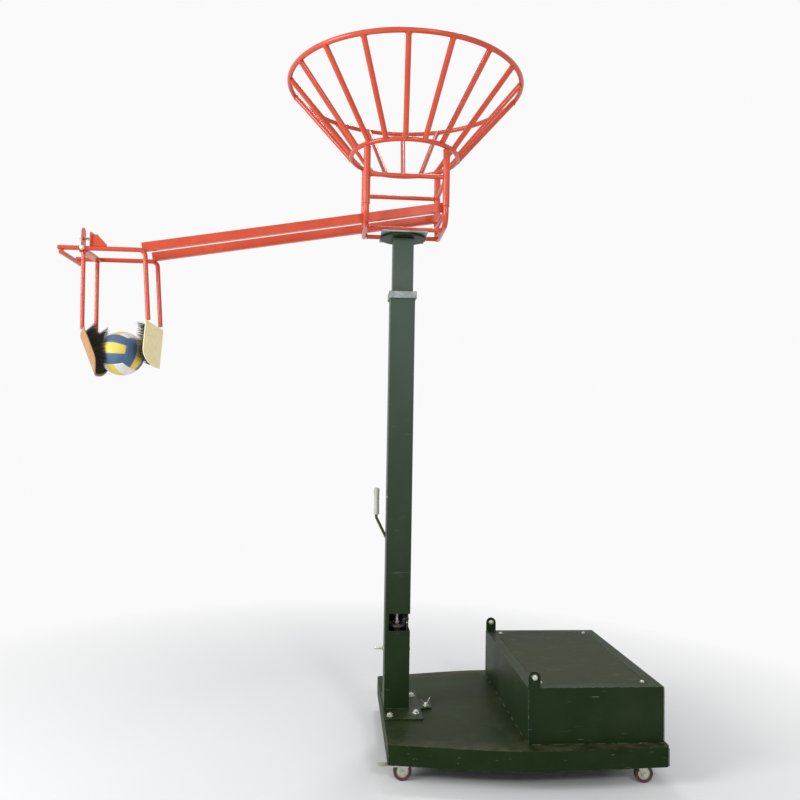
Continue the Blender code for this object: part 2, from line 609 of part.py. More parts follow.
def crank():
    """Z-shaped crank, its free-turning grip, and the strip with two eyes that stores it."""
    path = rounded([(CRANK_X, CRANK_Y, CRANK_LOW), (CRANK_X, CRANK_Y, CRANK_BEND),
                    (GRIP_X, CRANK_Y, GRIP_LOW), (GRIP_X, CRANK_Y, CRANK_HIGH)], 0.022)
    bent_tube("crank_arm", path, CRANK_R, OLIVE)
    bore, z0, z1 = CRANK_R + RUN, GRIP_LOW + 0.014, CRANK_HIGH - 0.002
    turned("crank_grip", [(bore, z1), (0.012, z1), (0.0145, z1 - 0.006), (0.0135, (z0 + z1) / 2),
           (0.0145, z0 + 0.006), (0.012, z0), (bore, z0)], GRIP, (GRIP_X, CRANK_Y, 0),
           sides=16, closed=True)
    wall = OUTER_W / 2 + GAP
    strip = box("crank_holder", (CRANK_X - 0.012, wall, EYE_Z[0] - 0.015),
                (CRANK_X + 0.012, wall + 0.004, EYE_Z[1] + 0.015), ZINC)
    for z in EYE_Z:
        inner, outer = CRANK_R + RUN, CRANK_R + 0.005
        eye = turned("eye", [(inner, 0.005), (outer, 0.005), (outer, -0.005), (inner, -0.005)],
                     ZINC, (CRANK_X, CRANK_Y, z), sides=16, closed=True, keep=False)
        stem = box("stem", (CRANK_X - 0.005, wall + 0.003, z - 0.0045),
                   (CRANK_X + 0.005, CRANK_Y - CRANK_R - 0.002, z + 0.0045), keep=False)
        join(strip, stem, eye)


# Head, cage and funnel

def head():
    """Fixed disc on the inner tube, the plate that swivels on it and the nut on its spigot."""
    low = INNER_TOP + GAP
    top = low + DISC_T
    king = top + GAP + PLATE_T
    turned("turntable_disc", [(0, king + 0.012), (0.012, king + 0.012), (0.012, top), (DISC_R
           - 0.002, top), (DISC_R, top - 0.002), (DISC_R, low), (0, low)], GREEN, sides=40)
    locks = [(0.095, 0.0), (-0.095, 0.0)]
    holes = [circle(0, 0, 0.012 + RUN, 16)] + [circle(x, y, 0.0055, 8) for x, y in locks]
    plate("head_plate", [rectangle(PLATE_W, PLATE_W)] + holes, PLATE_T,
          (0, 0, top + GAP + PLATE_T / 2), ZINC, fixed=True)
    z = king + GAP
    bore = (0.012 + GAP) / cos(pi / 12)
    nut = turned("king_nut", [(bore, z + 0.010), (0.021, z + 0.010), (0.021, z), (bore, z)],
                 ZINC, sides=12, closed=True)
    nut.modifiers["turn"].use_smooth_shade = False


def cage():
    """Two sides, each a U under the chute with two posts on it, and the bars between them."""
    for name, side in (("cage_side_left", -1), ("cage_side_right", 1)):
        x = side * CAGE_X
        path = rounded([(x, -CAGE_Y, POST_BOTTOM + 0.004), (x, -CAGE_Y, CAGE_LOW_Z),
                        (x, CAGE_Y, CAGE_LOW_Z), (x, CAGE_Y, POST_BOTTOM + 0.004)],
                       CAGE_BEND_R, 6)
        frame = bent_tube(name, path, CAGE_R, RED, fixed=True)
        post_top = THROAT_Z - THROAT_TUBE - GAP
        extras = [rod("post", POST_R, (x, y, POST_BOTTOM), (x, y, post_top), RED, 14, False)
                  for y in (-CAGE_Y, CAGE_Y)]
        for post in extras:
            post.rotation_euler.rotate_axis('Z', OFF_FACET)
        if side > 0:
            low_z = rail_seat(CAGE_X) - (BAR_R + GAP) * sqrt(1 + RAIL_SLOPE ** 2)
            bars = [rod("bar", BAR_R, (x, -CAGE_Y, z), (x, CAGE_Y, z), RED, 10, False)
                    for z in (TOP_BAR_Z, low_z)]
            for bar in bars:
                bar.rotation_euler.rotate_axis('Z', OFF_FACET)
            extras += bars
        join(frame, *extras)
    top_x, low_x = CAGE_X - POST_R - GAP, CAGE_X - CAGE_R - GAP
    low_z = INNER_TOP + DISC_T + PLATE_T + 3 * GAP + BAR_R
    for name, side in (("near", -1), ("far", 1)):
        y = side * CAGE_Y
        rod("cage_top_bar_" + name, BAR_R, (-top_x, y, TOP_BAR_Z), (top_x, y, TOP_BAR_Z), RED, 12)
        y = side * BOTTOM_BAR_Y
        rod("cage_bottom_bar_" + name, BAR_R, (-low_x, y, low_z), (low_x, y, low_z), RED, 12)


def ring(name, radius, z, tube, around, across):
    """A round bar bent into a hoop."""
    bpy.ops.mesh.primitive_torus_add(major_radius=radius, minor_radius=tube,
                                     major_segments=around, minor_segments=across,
                                     location=(0, 0, z))
    obj = bpy.context.object
    obj.name = obj.data.name = name
    obj.data.shade_smooth()
    return settle(obj, RED)


def funnel():
    """Wide rim, and the throat hoop with the straight ribs that carry it."""
    rim = ring("funnel_rim", RIM_R, RIM_Z, RIM_TUBE, 3 * RIBS, 8)
    rim.rotation_euler = (0, 0, 2 * pi * RIB_TURN / RIBS)
    basket = ring("funnel_basket", THROAT_R, THROAT_Z, THROAT_TUBE, 36, 8)
    low, high = Vector((THROAT_R, 0, THROAT_Z)), Vector((RIM_R, 0, RIM_Z))
    run = (high - low).normalized()
    low += run * THROAT_TUBE * 0.3
    high -= run * (RIM_TUBE + FACET_GAP + GAP)
    ribs = []
    for k in range(RIBS):
        spin = Matrix.Rotation(2 * pi * (k + RIB_TURN) / RIBS, 3, 'Z')
        ribs.append(rod("rib", RIB_R, spin @ low, spin @ high, RED, 8, keep=False))
    join(basket, *ribs)


# Chute and ball holder

def rail_top(x):
    return RAIL_Z0 + RAIL_SLOPE * x


def rail_bottom(x):
    return rail_top(x) - RAIL_H * sqrt(1 + RAIL_SLOPE ** 2)


def rail_seat(x):
    """Underside of a rail, a little above what it rests on."""
    return rail_bottom(x) + 2 * GAP


def rails():
    """Two rectangular tubes closer together than the ball is wide."""
    tilt = atan2(RAIL_SLOPE, 1)
    length = (RAIL_X1 - RAIL_X0) / cos(tilt)
    middle_x = (RAIL_X0 + RAIL_X1) / 2
    middle_z = (rail_top(middle_x) + rail_bottom(middle_x)) / 2 + 2 * GAP
    wall = 2 * RAIL_T
    for name, side in (("rail_near", -1), ("rail_far", 1)):
        plate(name, [rectangle(RAIL_H, RAIL_W), rectangle(RAIL_H - wall, RAIL_W - wall)],
              length, (middle_x, side * (RAIL_OUTER_Y - RAIL_W / 2), middle_z), RED,
              (0, pi / 2 - tilt, 0), fixed=True)


def pad_depth(pad, y, inward=0):
    """How far the cup bulges outward at this distance from its middle."""
    return sqrt((pad["r"] - inward) ** 2 - y ** 2) - sqrt(pad["r"] ** 2 - pad["half"] ** 2)


def pad_frame(pad):
    """Place of the middle of the chord between the top corners, with +X outward."""
    turn = Matrix.Rotation(pad["tilt"], 4, 'Y')
    if pad["side"] < 0:
        turn = Matrix.Rotation(pi, 4, 'Z') @ turn
    return Matrix.Translation((pad["x"], 0, pad["z"])) @ turn


def holder_frame():
    """Two side tubes that bend down into the fixed rods, and the cross tube at their ends."""
    pad = FIXED_PAD
    foot = pad_frame(pad) @ Vector((pad_depth(pad, ARM_Y), 0, 0))
    for name, side in (("arm_near", -1), ("arm_far", 1)):
        y = side * ARM_Y
        path = rounded([(ARM_X0, y, ARM_Z), (ARM_BEND_X, y, ARM_Z),
                        (foot.x, y, pad["z"] + 2 * GAP)], ARM_BEND_R, 5)
        arm = bent_tube(name, path, ARM_R, RED, 2, fixed=True)
        hole = rod("pivot_hole", 0.0055, (PIVOT_X, y - 0.02, ARM_Z), (PIVOT_X, y + 0.02, ARM_Z),
                   sides=10, keep=False)
        cut(arm, hole)
    z, y = ARM_Z - 2 * ARM_R - GAP, ARM_Y + ARM_R
    rod("holder_end_tube", ARM_R, (ARM_X0 + 0.017, -y, z), (ARM_X0 + 0.017, y, z), RED, 12)


def jaw():
    """Swinging side: pivot tube with its cross plate and lever, two rods and pivot bolts."""
    half = ARM_Y - ARM_R - GAP
    tube = rod("jaw_frame", PIVOT_TUBE_R, (PIVOT_X, -half, ARM_Z), (PIVOT_X, half, ARM_Z),
               RED, 12)
    shelf = box("shelf", (PIVOT_X - 0.020, -0.111, ARM_Z - 0.015), (PIVOT_X + 0.020, 0.111,
                ARM_Z - 0.008), keep=False)
    w = LEVER_W / 2
    arc = [(w * cos(a), LEVER_TOP - w + w * sin(a)) for a in [pi * k / 6 for k in range(7)]]
    slot = rectangle(2 * BOLT_R + 0.002, 0.017, 0, BOLT_Z)
    lever = plate("lever", [arc + [(-w, ARM_Z - 0.010), (w, ARM_Z - 0.010)], slot], LEVER_T,
                  (LEVER_X, BOLT_Y, 0), RED, (pi / 2, 0, pi / 2), keep=False)
    bores = [rod("pin_bore", 0.0055, (PIVOT_X, side * (half - 0.02), ARM_Z),
                 (PIVOT_X, side * (half + 0.01), ARM_Z), sides=10, keep=False)
             for side in (-1, 1)]
    rods, pad = [], JAW_PAD
    for side in (-1, 1):
        y = side * JAW_ROD_Y
        edge = JAW_ROD_Y + ROD_R
        foot = pad_frame(pad) @ Vector((pad_depth(pad, edge), 0, pad_edges(pad, edge)[1]))
        rods.append(rod("jaw_rod", ROD_R, (PIVOT_X - 0.003, y, ARM_Z - 0.0115),
                        (foot.x - 0.003, y, foot.z + FACET_GAP + 3 * GAP), RED, 12,
                        keep=False))
    cut(join(tube, shelf, lever, *rods), *bores)
    for name, side, flip in (("near", -1, True), ("far", 1, False)):
        y = side * (ARM_Y + ARM_R + GAP)
        bolt("jaw_pivot_bolt_" + name, 0.009, 0.006, 0.0048, 0.036, (PIVOT_X, y, ARM_Z), "y",
             flip)


def spring_stop():
    """Bracket on the near tube, the guide bolt through bracket and lever, and the spring."""
    foot = ARM_Z + ARM_R + GAP
    bolt_hole = rectangle(0.008, 0.008, BOLT_Y, BOLT_Z)
    inner = BOLT_Y + LEVER_W / 2
    outline = [(-0.134, foot), (-0.114, foot), (-0.100, foot + 0.014), (inner, foot + 0.014),
               (inner, BRACKET_TOP - 0.008), (inner - 0.008, BRACKET_TOP),
               (-0.126, BRACKET_TOP), (-0.134, BRACKET_TOP - 0.008)]
    post = plate("spring_bracket", [outline, bolt_hole], 0.006, (BRACKET_X, 0, 0), RED,
                 (pi / 2, 0, pi / 2), fixed=True)
    top = BRACKET_TOP - 0.012
    brace = plate("brace", [[(BRACKET_X + 0.001, foot), (BRACE_X1, foot),
                             (BRACE_X1, foot + 0.008), (BRACKET_X + 0.030, top),
                             (BRACKET_X + 0.001, top)]], 0.005, (0, -0.124, 0), RED,
                  (pi / 2, 0, 0), keep=False)
    join(post, brace)
    left, right = LEVER_X - LEVER_T / 2, BRACKET_X - 0.003
    turned("guide_bolt", [(0, BRACKET_X + 0.018), (BOLT_R, BRACKET_X + 0.018), (BOLT_R,
           left - 0.0005), (0.0075, left - 0.0005), (0.0075, left - 0.0065), (BOLT_R, left
           - 0.0065), (BOLT_R, left - 0.016), (0, left - 0.016)], ZINC, (0, BOLT_Y, BOLT_Z),
           "x", 10)
    start, end = left + LEVER_T + SPRING_WIRE_R + GAP, right - SPRING_WIRE_R - GAP
    per_turn = 9
    count = SPRING_TURNS * per_turn
    path = []
    for k in range(count + 1):
        angle, part = 2 * pi * k / per_turn, k / count
        path.append((start + (end - start) * part, BOLT_Y + SPRING_R * cos(angle),
                     BOLT_Z + SPRING_R * sin(angle)))
    bent_tube("jaw_spring", path, SPRING_WIRE_R, STEEL, 1)


# Pads and bristles

def pad_edges(pad, y):
    """Lower and upper edge of the cup, measured down from the top corners."""
    part = min(abs(y) / pad["half"], 1.0)
    upper = -PAD_DIP * (1 - part ** 2)
    lift = max(0.0, (part - 0.30) / 0.70)
    lower = -PAD_H + PAD_ROUND * (1 - sqrt(max(0.0, 1 - lift ** 2)))
    return lower, upper


def pad_grid(pad, columns, rows, inward, margin):
    """A sheet of faces on the cup, this far inside it and this far in from its edges."""
    bm = bmesh.new()
    grid = []
    half = pad["half"] - margin
    for i in range(columns + 1):
        y = half * sin(pi / 2 * (2 * i / columns - 1) * 0.8) / sin(pi / 2 * 0.8)
        lower, upper = pad_edges(pad, y)
        lower, upper = lower + margin, upper - margin
        x = pad_depth(pad, y, inward)
        grid.append([bm.verts.new((x, y, lower + (upper - lower) * j / rows))
                     for j in range(rows + 1)])
    for a, b in zip(grid, grid[1:]):
        for j in range(rows):
            bm.faces.new((a[j], b[j], b[j + 1], a[j + 1]))
    return bm


def pad_cup(name, pad):
    """Pressed sheet cup, open toward the ball."""
    obj = solid(name, pad_grid(pad, 12, 6, 0, 0), TAN)
    shell = obj.modifiers.new("sheet", 'SOLIDIFY')
    shell.thickness, shell.offset = PAD_T, -1
    obj.matrix_local = pad_frame(pad)
    obj.data.shade_smooth()


def clear_of_ball(p):
    """True where a bristle may be: clear of the ball and of its way down from above."""
    z = max(p.z, BALL_Z)
    low = (p - Vector((BALL_X, 0, BALL_Z))).length if p.z < BALL_Z else 0
    reach = BALL_R + BRISTLE_GAP
    return hypot(p.x - BALL_X, p.y) > reach if z > BALL_Z else low > reach


def brush(name, pad):
    """Bristles in one moulded strip on the inside of a cup, trimmed round the ball."""
    bm = pad_grid(pad, 14, 11, PAD_T + FACET_GAP, 0.010)
    back = bm.faces[:]
    front = bmesh.ops.extrude_face_region(bm, geom=back)["geom"]
    moved = [v for v in front if isinstance(v, bmesh.types.BMVert)]
    bmesh.ops.translate(bm, vec=(-0.003, 0, 0), verts=moved)
    cells = [f for f in front if isinstance(f, bmesh.types.BMFace)]
    frame = pad_frame(pad)
    bmesh.ops.inset_individual(bm, faces=cells, thickness=0.0042, use_even_offset=True)
    tips = bmesh.ops.extrude_discrete_faces(bm, faces=cells)["faces"]
    for number, tip in enumerate(tips):
        middle = tip.calc_center_median()
        corners = [middle + (v.co - middle) * BRISTLE_TAPER for v in tip.verts]
        length = BRISTLE_MIN
        while length < BRISTLE_MAX and all(
                clear_of_ball(frame @ (corner - Vector((length, 0, 0)))) for corner in corners):
            length += BRISTLE_STEP
        if length >= BRISTLE_MAX:
            length = BRISTLE_FREE - 0.004 * sin(2.4 * number)
        for v, corner in zip(tip.verts, corners):
            v.co = corner - Vector((length - BRISTLE_STEP, 0, 0))
    bmesh.ops.recalc_face_normals(bm, faces=bm.faces)
    obj = solid(name, bm, BLACK)
    obj.matrix_local = frame


def ball():
    bm = bmesh.new()
    bmesh.ops.create_uvsphere(bm, u_segments=22, v_segments=12, radius=BALL_R)
    obj = solid("volleyball", bm, LEATHER, (BALL_X, 0, BALL_Z))
    obj.data.shade_smooth()


base_deck()
mast_foot()
ballast_box()
ballast_lid()
ballast_block()
for (x, half_y), facing in ((LEFT_CASTER, "left"), (RIGHT_CASTER, "right")):
    for y, where in ((-half_y, "near"), (half_y, "far")):
        trailing = -1 if (where, facing) == ("near", "left") else 1
        caster(f"caster_{where}_{facing}", x, y, trailing, facing == "left")
mast()
lift_screw()
crank()
head()
cage()
funnel()
rails()
holder_frame()
jaw()
spring_stop()
pad_cup("fixed_pad", FIXED_PAD)
pad_cup("jaw_pad", JAW_PAD)
brush("fixed_brush", FIXED_PAD)
brush("jaw_brush", JAW_PAD)
ball()
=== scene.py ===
"""Volleyball spike trainer, dressed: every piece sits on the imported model's own solids.

The frame gives the sizes, and the sections below follow the trainer as it is put together, from
the floor to the ball. Metres, +Z up, mast at x = 0.236, ballast box toward +X, holder toward -X.
"""
import json
import random
from math import atan2, cos, hypot, pi, radians, sin, sqrt, tan

import bmesh
import bpy
from mathutils import Matrix, Quaternion, Vector

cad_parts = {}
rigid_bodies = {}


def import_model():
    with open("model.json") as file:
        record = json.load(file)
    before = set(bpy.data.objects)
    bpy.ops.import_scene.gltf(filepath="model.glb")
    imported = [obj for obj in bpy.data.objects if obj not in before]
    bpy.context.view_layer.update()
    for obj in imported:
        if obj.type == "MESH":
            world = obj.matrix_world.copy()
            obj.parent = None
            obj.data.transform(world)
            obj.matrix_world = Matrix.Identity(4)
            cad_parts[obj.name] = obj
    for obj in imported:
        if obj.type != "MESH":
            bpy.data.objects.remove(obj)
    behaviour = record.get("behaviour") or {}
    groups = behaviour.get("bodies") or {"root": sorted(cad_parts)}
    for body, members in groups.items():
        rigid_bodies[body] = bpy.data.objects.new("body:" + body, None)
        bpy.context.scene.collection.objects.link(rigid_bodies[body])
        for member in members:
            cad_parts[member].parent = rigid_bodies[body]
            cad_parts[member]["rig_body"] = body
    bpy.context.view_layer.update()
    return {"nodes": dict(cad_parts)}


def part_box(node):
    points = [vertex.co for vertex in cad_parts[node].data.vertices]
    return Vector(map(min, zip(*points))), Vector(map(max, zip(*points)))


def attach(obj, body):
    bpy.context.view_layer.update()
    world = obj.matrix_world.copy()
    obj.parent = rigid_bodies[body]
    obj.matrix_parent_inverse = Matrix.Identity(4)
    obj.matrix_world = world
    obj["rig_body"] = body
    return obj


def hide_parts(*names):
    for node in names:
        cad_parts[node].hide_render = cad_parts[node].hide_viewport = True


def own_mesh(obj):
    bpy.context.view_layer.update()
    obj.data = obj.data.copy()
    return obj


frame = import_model()


# ----------------------------------------
# Room: a pale floor that fades into an even white surround, one large soft light from the
# upper left like the window in the hall, and weaker ones from the front and the roof.

def linear(red, green, blue):
    """A colour picked as 0-255 screen values, in the linear values that shaders use."""
    return tuple((c / 255 / 12.92 if c <= 10 else ((c / 255 + 0.055) / 1.055) ** 2.4)
                 for c in (red, green, blue)) + (1.0,)


def wire(value, socket):
    """Link an output, or a node's first output, to an input."""
    if isinstance(value, bpy.types.Node):
        value = value.outputs[0]
    socket.id_data.links.new(value, socket)


def node(tree, kind, inputs=(), **settings):
    """Add a node; each input is a value, a node, a node's output or a list of such outputs."""
    made = tree.nodes.new(kind)
    for key, value in settings.items():
        setattr(made, key, value)
    for key, given in dict(inputs).items():
        for value in given if isinstance(given, list) else [given]:
            if hasattr(value, "id_data"):
                wire(value, made.inputs[key])
            else:
                made.inputs[key].default_value = value
    return made


def ranged(value, low=0.0, high=1.0, to_low=0.0, to_high=1.0):
    """A value mapped from one range to another, clamped."""
    return node(value.id_data, "ShaderNodeMapRange", {
        "Value": value, "From Min": low, "From Max": high, "To Min": to_low,
        "To Max": to_high}).outputs["Result"]


def clouds_at(place, scale, detail, rough=0.5, twist=0.0):
    """Noise of this size and detail at a place."""
    return node(place.id_data, "ShaderNodeTexNoise", {
        "Vector": place, "Scale": scale, "Detail": detail, "Roughness": rough,
        "Distortion": twist}).outputs["Fac"]


def maths(way, *values):
    """The result of a sum of this kind; at least one value comes from a node."""
    tree = next(value for value in values if hasattr(value, "id_data")).id_data
    return node(tree, "ShaderNodeMath", dict(enumerate(values)), operation=way).outputs[0]


scene = bpy.context.scene
scene.view_settings.view_transform = 'Standard'

camera_data = bpy.data.cameras.new("camera")
camera_data.sensor_width, camera_data.lens = 36.0, 34.48
camera = bpy.data.objects.new("camera", camera_data)
scene.collection.objects.link(camera)
yaw, pitch, roll = 0.0776, 0.0424, 0.0164
forward = Vector((sin(yaw) * cos(pitch), cos(yaw) * cos(pitch), sin(pitch)))
right = Vector((cos(yaw), -sin(yaw), 0))
up = right.cross(forward)
side_axis = cos(roll) * right + sin(roll) * up
top_axis = cos(roll) * up - sin(roll) * right
turn = Matrix((side_axis, top_axis, -forward)).transposed().to_4x4()
camera.matrix_world = Matrix.Translation((-0.0586, -3.7666, 1.5027)) @ turn
scene.camera = camera

SURROUND = linear(250, 250, 250)
world = bpy.data.worlds.new("surround")
scene.world = world
world.use_nodes = True
tree = world.node_tree
tree.nodes.clear()
rays = node(tree, "ShaderNodeLightPath")
clear = maths('MAXIMUM', rays.outputs["Is Camera Ray"], rays.outputs["Is Transmission Ray"])
seen = maths('MAXIMUM', clear, rays.outputs["Is Glossy Ray"])
ambient = node(tree, "ShaderNodeBackground", {"Color": linear(240, 243, 247), "Strength": 0.42})
plain = node(tree, "ShaderNodeBackground", {"Color": SURROUND, "Strength": 1.0})
mixed = node(tree, "ShaderNodeMixShader", {0: seen, 1: ambient, 2: plain})
node(tree, "ShaderNodeOutputWorld", {"Surface": mixed})

for name, place, aim, width, power in (
        ("window_light", (-5.0, -2.6, 3.4), (0.0, 0.0, 1.3), 2.8, 260.0),
        ("front_light", (1.6, -5.2, 3.4), (0.0, 0.0, 1.4), 1.0, 66.0),
        ("roof_light", (0.9, 1.9, 6.4), (0.0, 0.0, 1.8), 1.2, 60.0)):
    lamp_data = bpy.data.lights.new(name, 'AREA')
    lamp_data.shape, lamp_data.size, lamp_data.energy = 'DISK', width, power
    lamp = bpy.data.objects.new(name, lamp_data)
    lamp.location = place
    lamp.rotation_euler = (Vector(aim) - Vector(place)).to_track_quat('-Z', 'Y').to_euler()
    scene.collection.objects.link(lamp)

floor_mesh = bmesh.new()
bmesh.ops.create_circle(floor_mesh, cap_ends=True, segments=96, radius=14.0)
floor = bpy.data.objects.new("floor", bpy.data.meshes.new("floor"))
floor_mesh.to_mesh(floor.data)
floor_mesh.free()
scene.collection.objects.link(floor)
floor_paint = bpy.data.materials.new("floor")
floor_paint.use_nodes = True
tree = floor_paint.node_tree
tree.nodes.clear()
where = node(tree, "ShaderNodeTexCoord").outputs["Object"]
away = node(tree, "ShaderNodeVectorMath", {0: where}, operation='LENGTH').outputs["Value"]
fade = ranged(away, 1.2, 3.2)
shade = ranged(clouds_at(where, 160.0, 3.0), 0.0, 1.0, 0.90, 0.95)
matte = node(tree, "ShaderNodeBsdfDiffuse", {"Color": shade})
flat = node(tree, "ShaderNodeEmission", {"Color": SURROUND, "Strength": 1.0})
blended = node(tree, "ShaderNodeMixShader", {0: fade, 1: matte, 2: flat})
node(tree, "ShaderNodeOutputMaterial", {"Surface": blended})
floor.data.materials.append(floor_paint)


# ----------------------------------------
# Deck: one boat-shaped sheet of 4 mm steel with its skirt folded down all round, and two folded
# channels welded across underneath that the casters bolt to. Sprayed dark green enamel, dusty on
# top, chipped to grey steel along its edges.

DECK_GREEN = linear(26, 43, 18)
WORN_GREEN = linear(38, 51, 28)
HALL_DUST = linear(104, 98, 76)
BARE_STEEL = linear(158, 156, 142)


def two_tone(mask, under, over):
    """A colour that goes from one to the other with a mask."""
    return node(
        mask.id_data, "ShaderNodeMix", {0: mask, 6: under, 7: over}, data_type='RGBA').outputs[2]


def relief(height, strength, depth, under=None, invert=False):
    """A normal with this height on it, over another normal if one is given."""
    more = {} if under is None else {"Normal": under}
    return node(height.id_data, "ShaderNodeBump",
                {"Height": height, "Strength": strength, "Distance": depth, **more}, invert=invert)


def axis_of(value, axis):
    """One coordinate of a vector."""
    return node(value.id_data, "ShaderNodeSeparateXYZ", {0: value}).outputs[axis]


def mapped(place, scale, turn=(0, 0, 0)):
    """A place turned and scaled, for noise that is drawn out one way."""
    return node(
        place.id_data, "ShaderNodeMapping", {"Vector": place, "Rotation": turn, "Scale": scale})


def new_finish(name, **constants):
    """A new finish and the place on the object that its looks depend on."""
    finish = bpy.data.materials.new(name)
    finish.use_nodes = True
    tree = finish.node_tree
    for key, value in constants.items():
        tree.nodes["Principled BSDF"].inputs[key.replace("_", " ")].default_value = value
    return finish, node(tree, "ShaderNodeTexCoord").outputs["Object"]


def covered(finish, colour=None, rough=None, normal=None):
    """Wire these outputs into the finish's shader."""
    shader = finish.node_tree.nodes["Principled BSDF"]
    for key, value in (("Base Color", colour), ("Roughness", rough), ("Normal", normal)):
        if value is not None:
            wire(value, shader.inputs[key])
    return finish


def enamel(name, paint=DECK_GREEN, faded=WORN_GREEN, chip=BARE_STEEL, gloss=0.42, dust=0.25,
           chips=0.5, shine=0.13):
    """Sprayed paint on steel: uneven coat, dust on top faces, scratches and chipped edges."""
    finish, place = new_finish(name, Specular_IOR_Level=shine)
    tree = finish.node_tree
    coat = ranged(clouds_at(place, 5.5, 7.0, 0.62), 0.38, 0.72)
    worn = two_tone(coat, paint, faded)
    # dust gathers on faces that look up, in drifts
    upward = ranged(axis_of(place.node.outputs["Normal"], "Z"), 0.55, 0.98)
    heap = ranged(clouds_at(place, 14.0, 9.0, 0.7, 0.6), 0.42, 0.80, 0.0, dust)
    dusty = maths('MULTIPLY', upward, heap)
    powdered = two_tone(dusty, worn, HALL_DUST)
    # fine straight scratches, long along one way
    stretched = mapped(place, (9.0, 260.0, 120.0), (0.5, 0.2, 0.7))
    scratch = ranged(clouds_at(stretched, 1.0, 2.0), 0.70, 0.76)
    # chips along the edges, where the rounded normal leaves the flat one
    rounded_edge = node(tree, "ShaderNodeBevel", {"Radius": 0.0022}, samples=4)
    true_normal = node(tree, "ShaderNodeNewGeometry")
    agree = node(tree, "ShaderNodeVectorMath", {0: rounded_edge, 1: true_normal.outputs["Normal"]},
                 operation='DOT_PRODUCT')
    edge = ranged(agree.outputs["Value"], 0.995, 0.90)
    flakes = clouds_at(place, 55.0, 8.0, 0.75)
    chipped = maths('MULTIPLY', edge, ranged(flakes, 0.50, 0.60, 0.0, chips))
    spots = ranged(flakes, 0.745, 0.765, 0.0, chips)
    marks = maths('MULTIPLY', scratch, 0.35 * chips)
    shown = maths('MAXIMUM', maths('MAXIMUM', chipped, spots), marks)
    final = two_tone(shown, powdered, chip)
    # dust and chips are dull, the coat is glossy with slow changes
    sheen = ranged(maths('ADD', dusty, shown), 0.0, 0.6, gloss, 0.78)
    patches = maths('MULTIPLY_ADD', coat, 0.10, sheen)
    # the sprayed coat's orange peel, with the sheet's own slight waves
    peel = clouds_at(place, 420.0, 2.0)
    fine = relief(peel, 0.10, 0.0004, relief(clouds_at(place, 9.0, 1.0), 0.35, 0.004))
    return covered(finish, final, patches, relief(shown, 0.5, 0.0003, fine, invert=True))


def place_piece(piece, body, slot, *nodes):
    """Let a finished piece move with a body and stand for CAD nodes; the slot is not used."""
    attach(piece, body)
    if nodes:
        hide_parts(*nodes)
    return piece


def mesh_piece(name, bm, finish, crease=35):
    """An object from a bmesh, smooth but for its sharp edges."""
    mesh = bpy.data.meshes.new(name)
    bm.to_mesh(mesh)
    bm.free()
    mesh.materials.append(finish)
    mesh.shade_smooth()
    mesh.set_sharp_from_angle(angle=radians(crease))
    piece = bpy.data.objects.new(name, mesh)
    scene.collection.objects.link(piece)
    return piece


def rounded(piece, width, steps, angle=radians(30)):
    """Let a piece's sharp edges be rounded."""
    rounding = piece.modifiers.new("rounding", 'BEVEL')
    rounding.width, rounding.segments = width, steps
    rounding.limit_method, rounding.angle_limit = 'ANGLE', angle
    return rounding


def settled(piece):
    """Apply every modifier of a piece to a plain mesh."""
    bpy.context.view_layer.update()
    depsgraph = bpy.context.evaluated_depsgraph_get()
    mesh = bpy.data.meshes.new_from_object(
        piece.evaluated_get(depsgraph), preserve_all_data_layers=True, depsgraph=depsgraph)
    piece.modifiers.clear()
    piece.data = mesh
    return piece


def metal_part(name, source, finish, body, slot, edge=0.0006, steps=2, crease=35):
    """A clean copy of a CAD part in its place: triangles merged to faces, edges rounded."""
    bm = bmesh.new()
    bm.from_mesh(frame["nodes"][source].data)
    bmesh.ops.remove_doubles(bm, verts=bm.verts, dist=0.00002)
    bmesh.ops.dissolve_limit(bm, angle_limit=radians(0.6), verts=bm.verts, edges=bm.edges)
    piece = mesh_piece(name, bm, finish, crease)
    rounding = rounded(piece, edge, steps, radians(crease))
    rounding.miter_outer = 'MITER_ARC'
    flat_faces = piece.modifiers.new("flat_faces", 'WEIGHTED_NORMAL')
    flat_faces.weight, flat_faces.keep_sharp = 100, True
    place_piece(settled(piece), body, slot, source)


def laid_over(finish, mask, colour):
    """Lay one more colour over a paint where a mask is high."""
    base = finish.node_tree.nodes["Principled BSDF"].inputs["Base Color"]
    wire(two_tone(mask, base.links[0].from_socket, colour), base)


green_enamel = enamel("green_enamel", chips=0.65)
deck_enamel = enamel("deck_green_enamel", chips=0.65, shine=0.05)
# swept dust lies in a band along the deck's curved sides, which bulge most at x = 0.80
coords = node(deck_enamel.node_tree, "ShaderNodeTexCoord").outputs
aside = maths('ABSOLUTE', axis_of(coords["Object"], "Y"))
bulge = maths('POWER', maths('SUBTRACT', axis_of(coords["Object"], "X"), 0.80), 2.0)
band = ranged(maths('MULTIPLY_ADD', bulge, 0.20, aside), 0.44, 0.54)
lumps = ranged(clouds_at(coords["Object"], 12.0, 9.0, 0.66), 0.38, 0.64, 0.0, 0.8)
flat_top = ranged(axis_of(coords["Normal"], "Z"), 0.90, 0.99)
on_top = maths('MULTIPLY', maths('MULTIPLY', band, lumps), flat_top)
laid_over(deck_enamel, on_top, linear(88, 84, 62))
metal_part("deck_sheet", "base_deck", deck_enamel, "base", "green", edge=0.0018, steps=3)


# ----------------------------------------
# Weld beads: run by hand along the joints in short ripples and painted over with the sheet.
# Here they close the deck's skirt corners, and further on every joint gets its own.

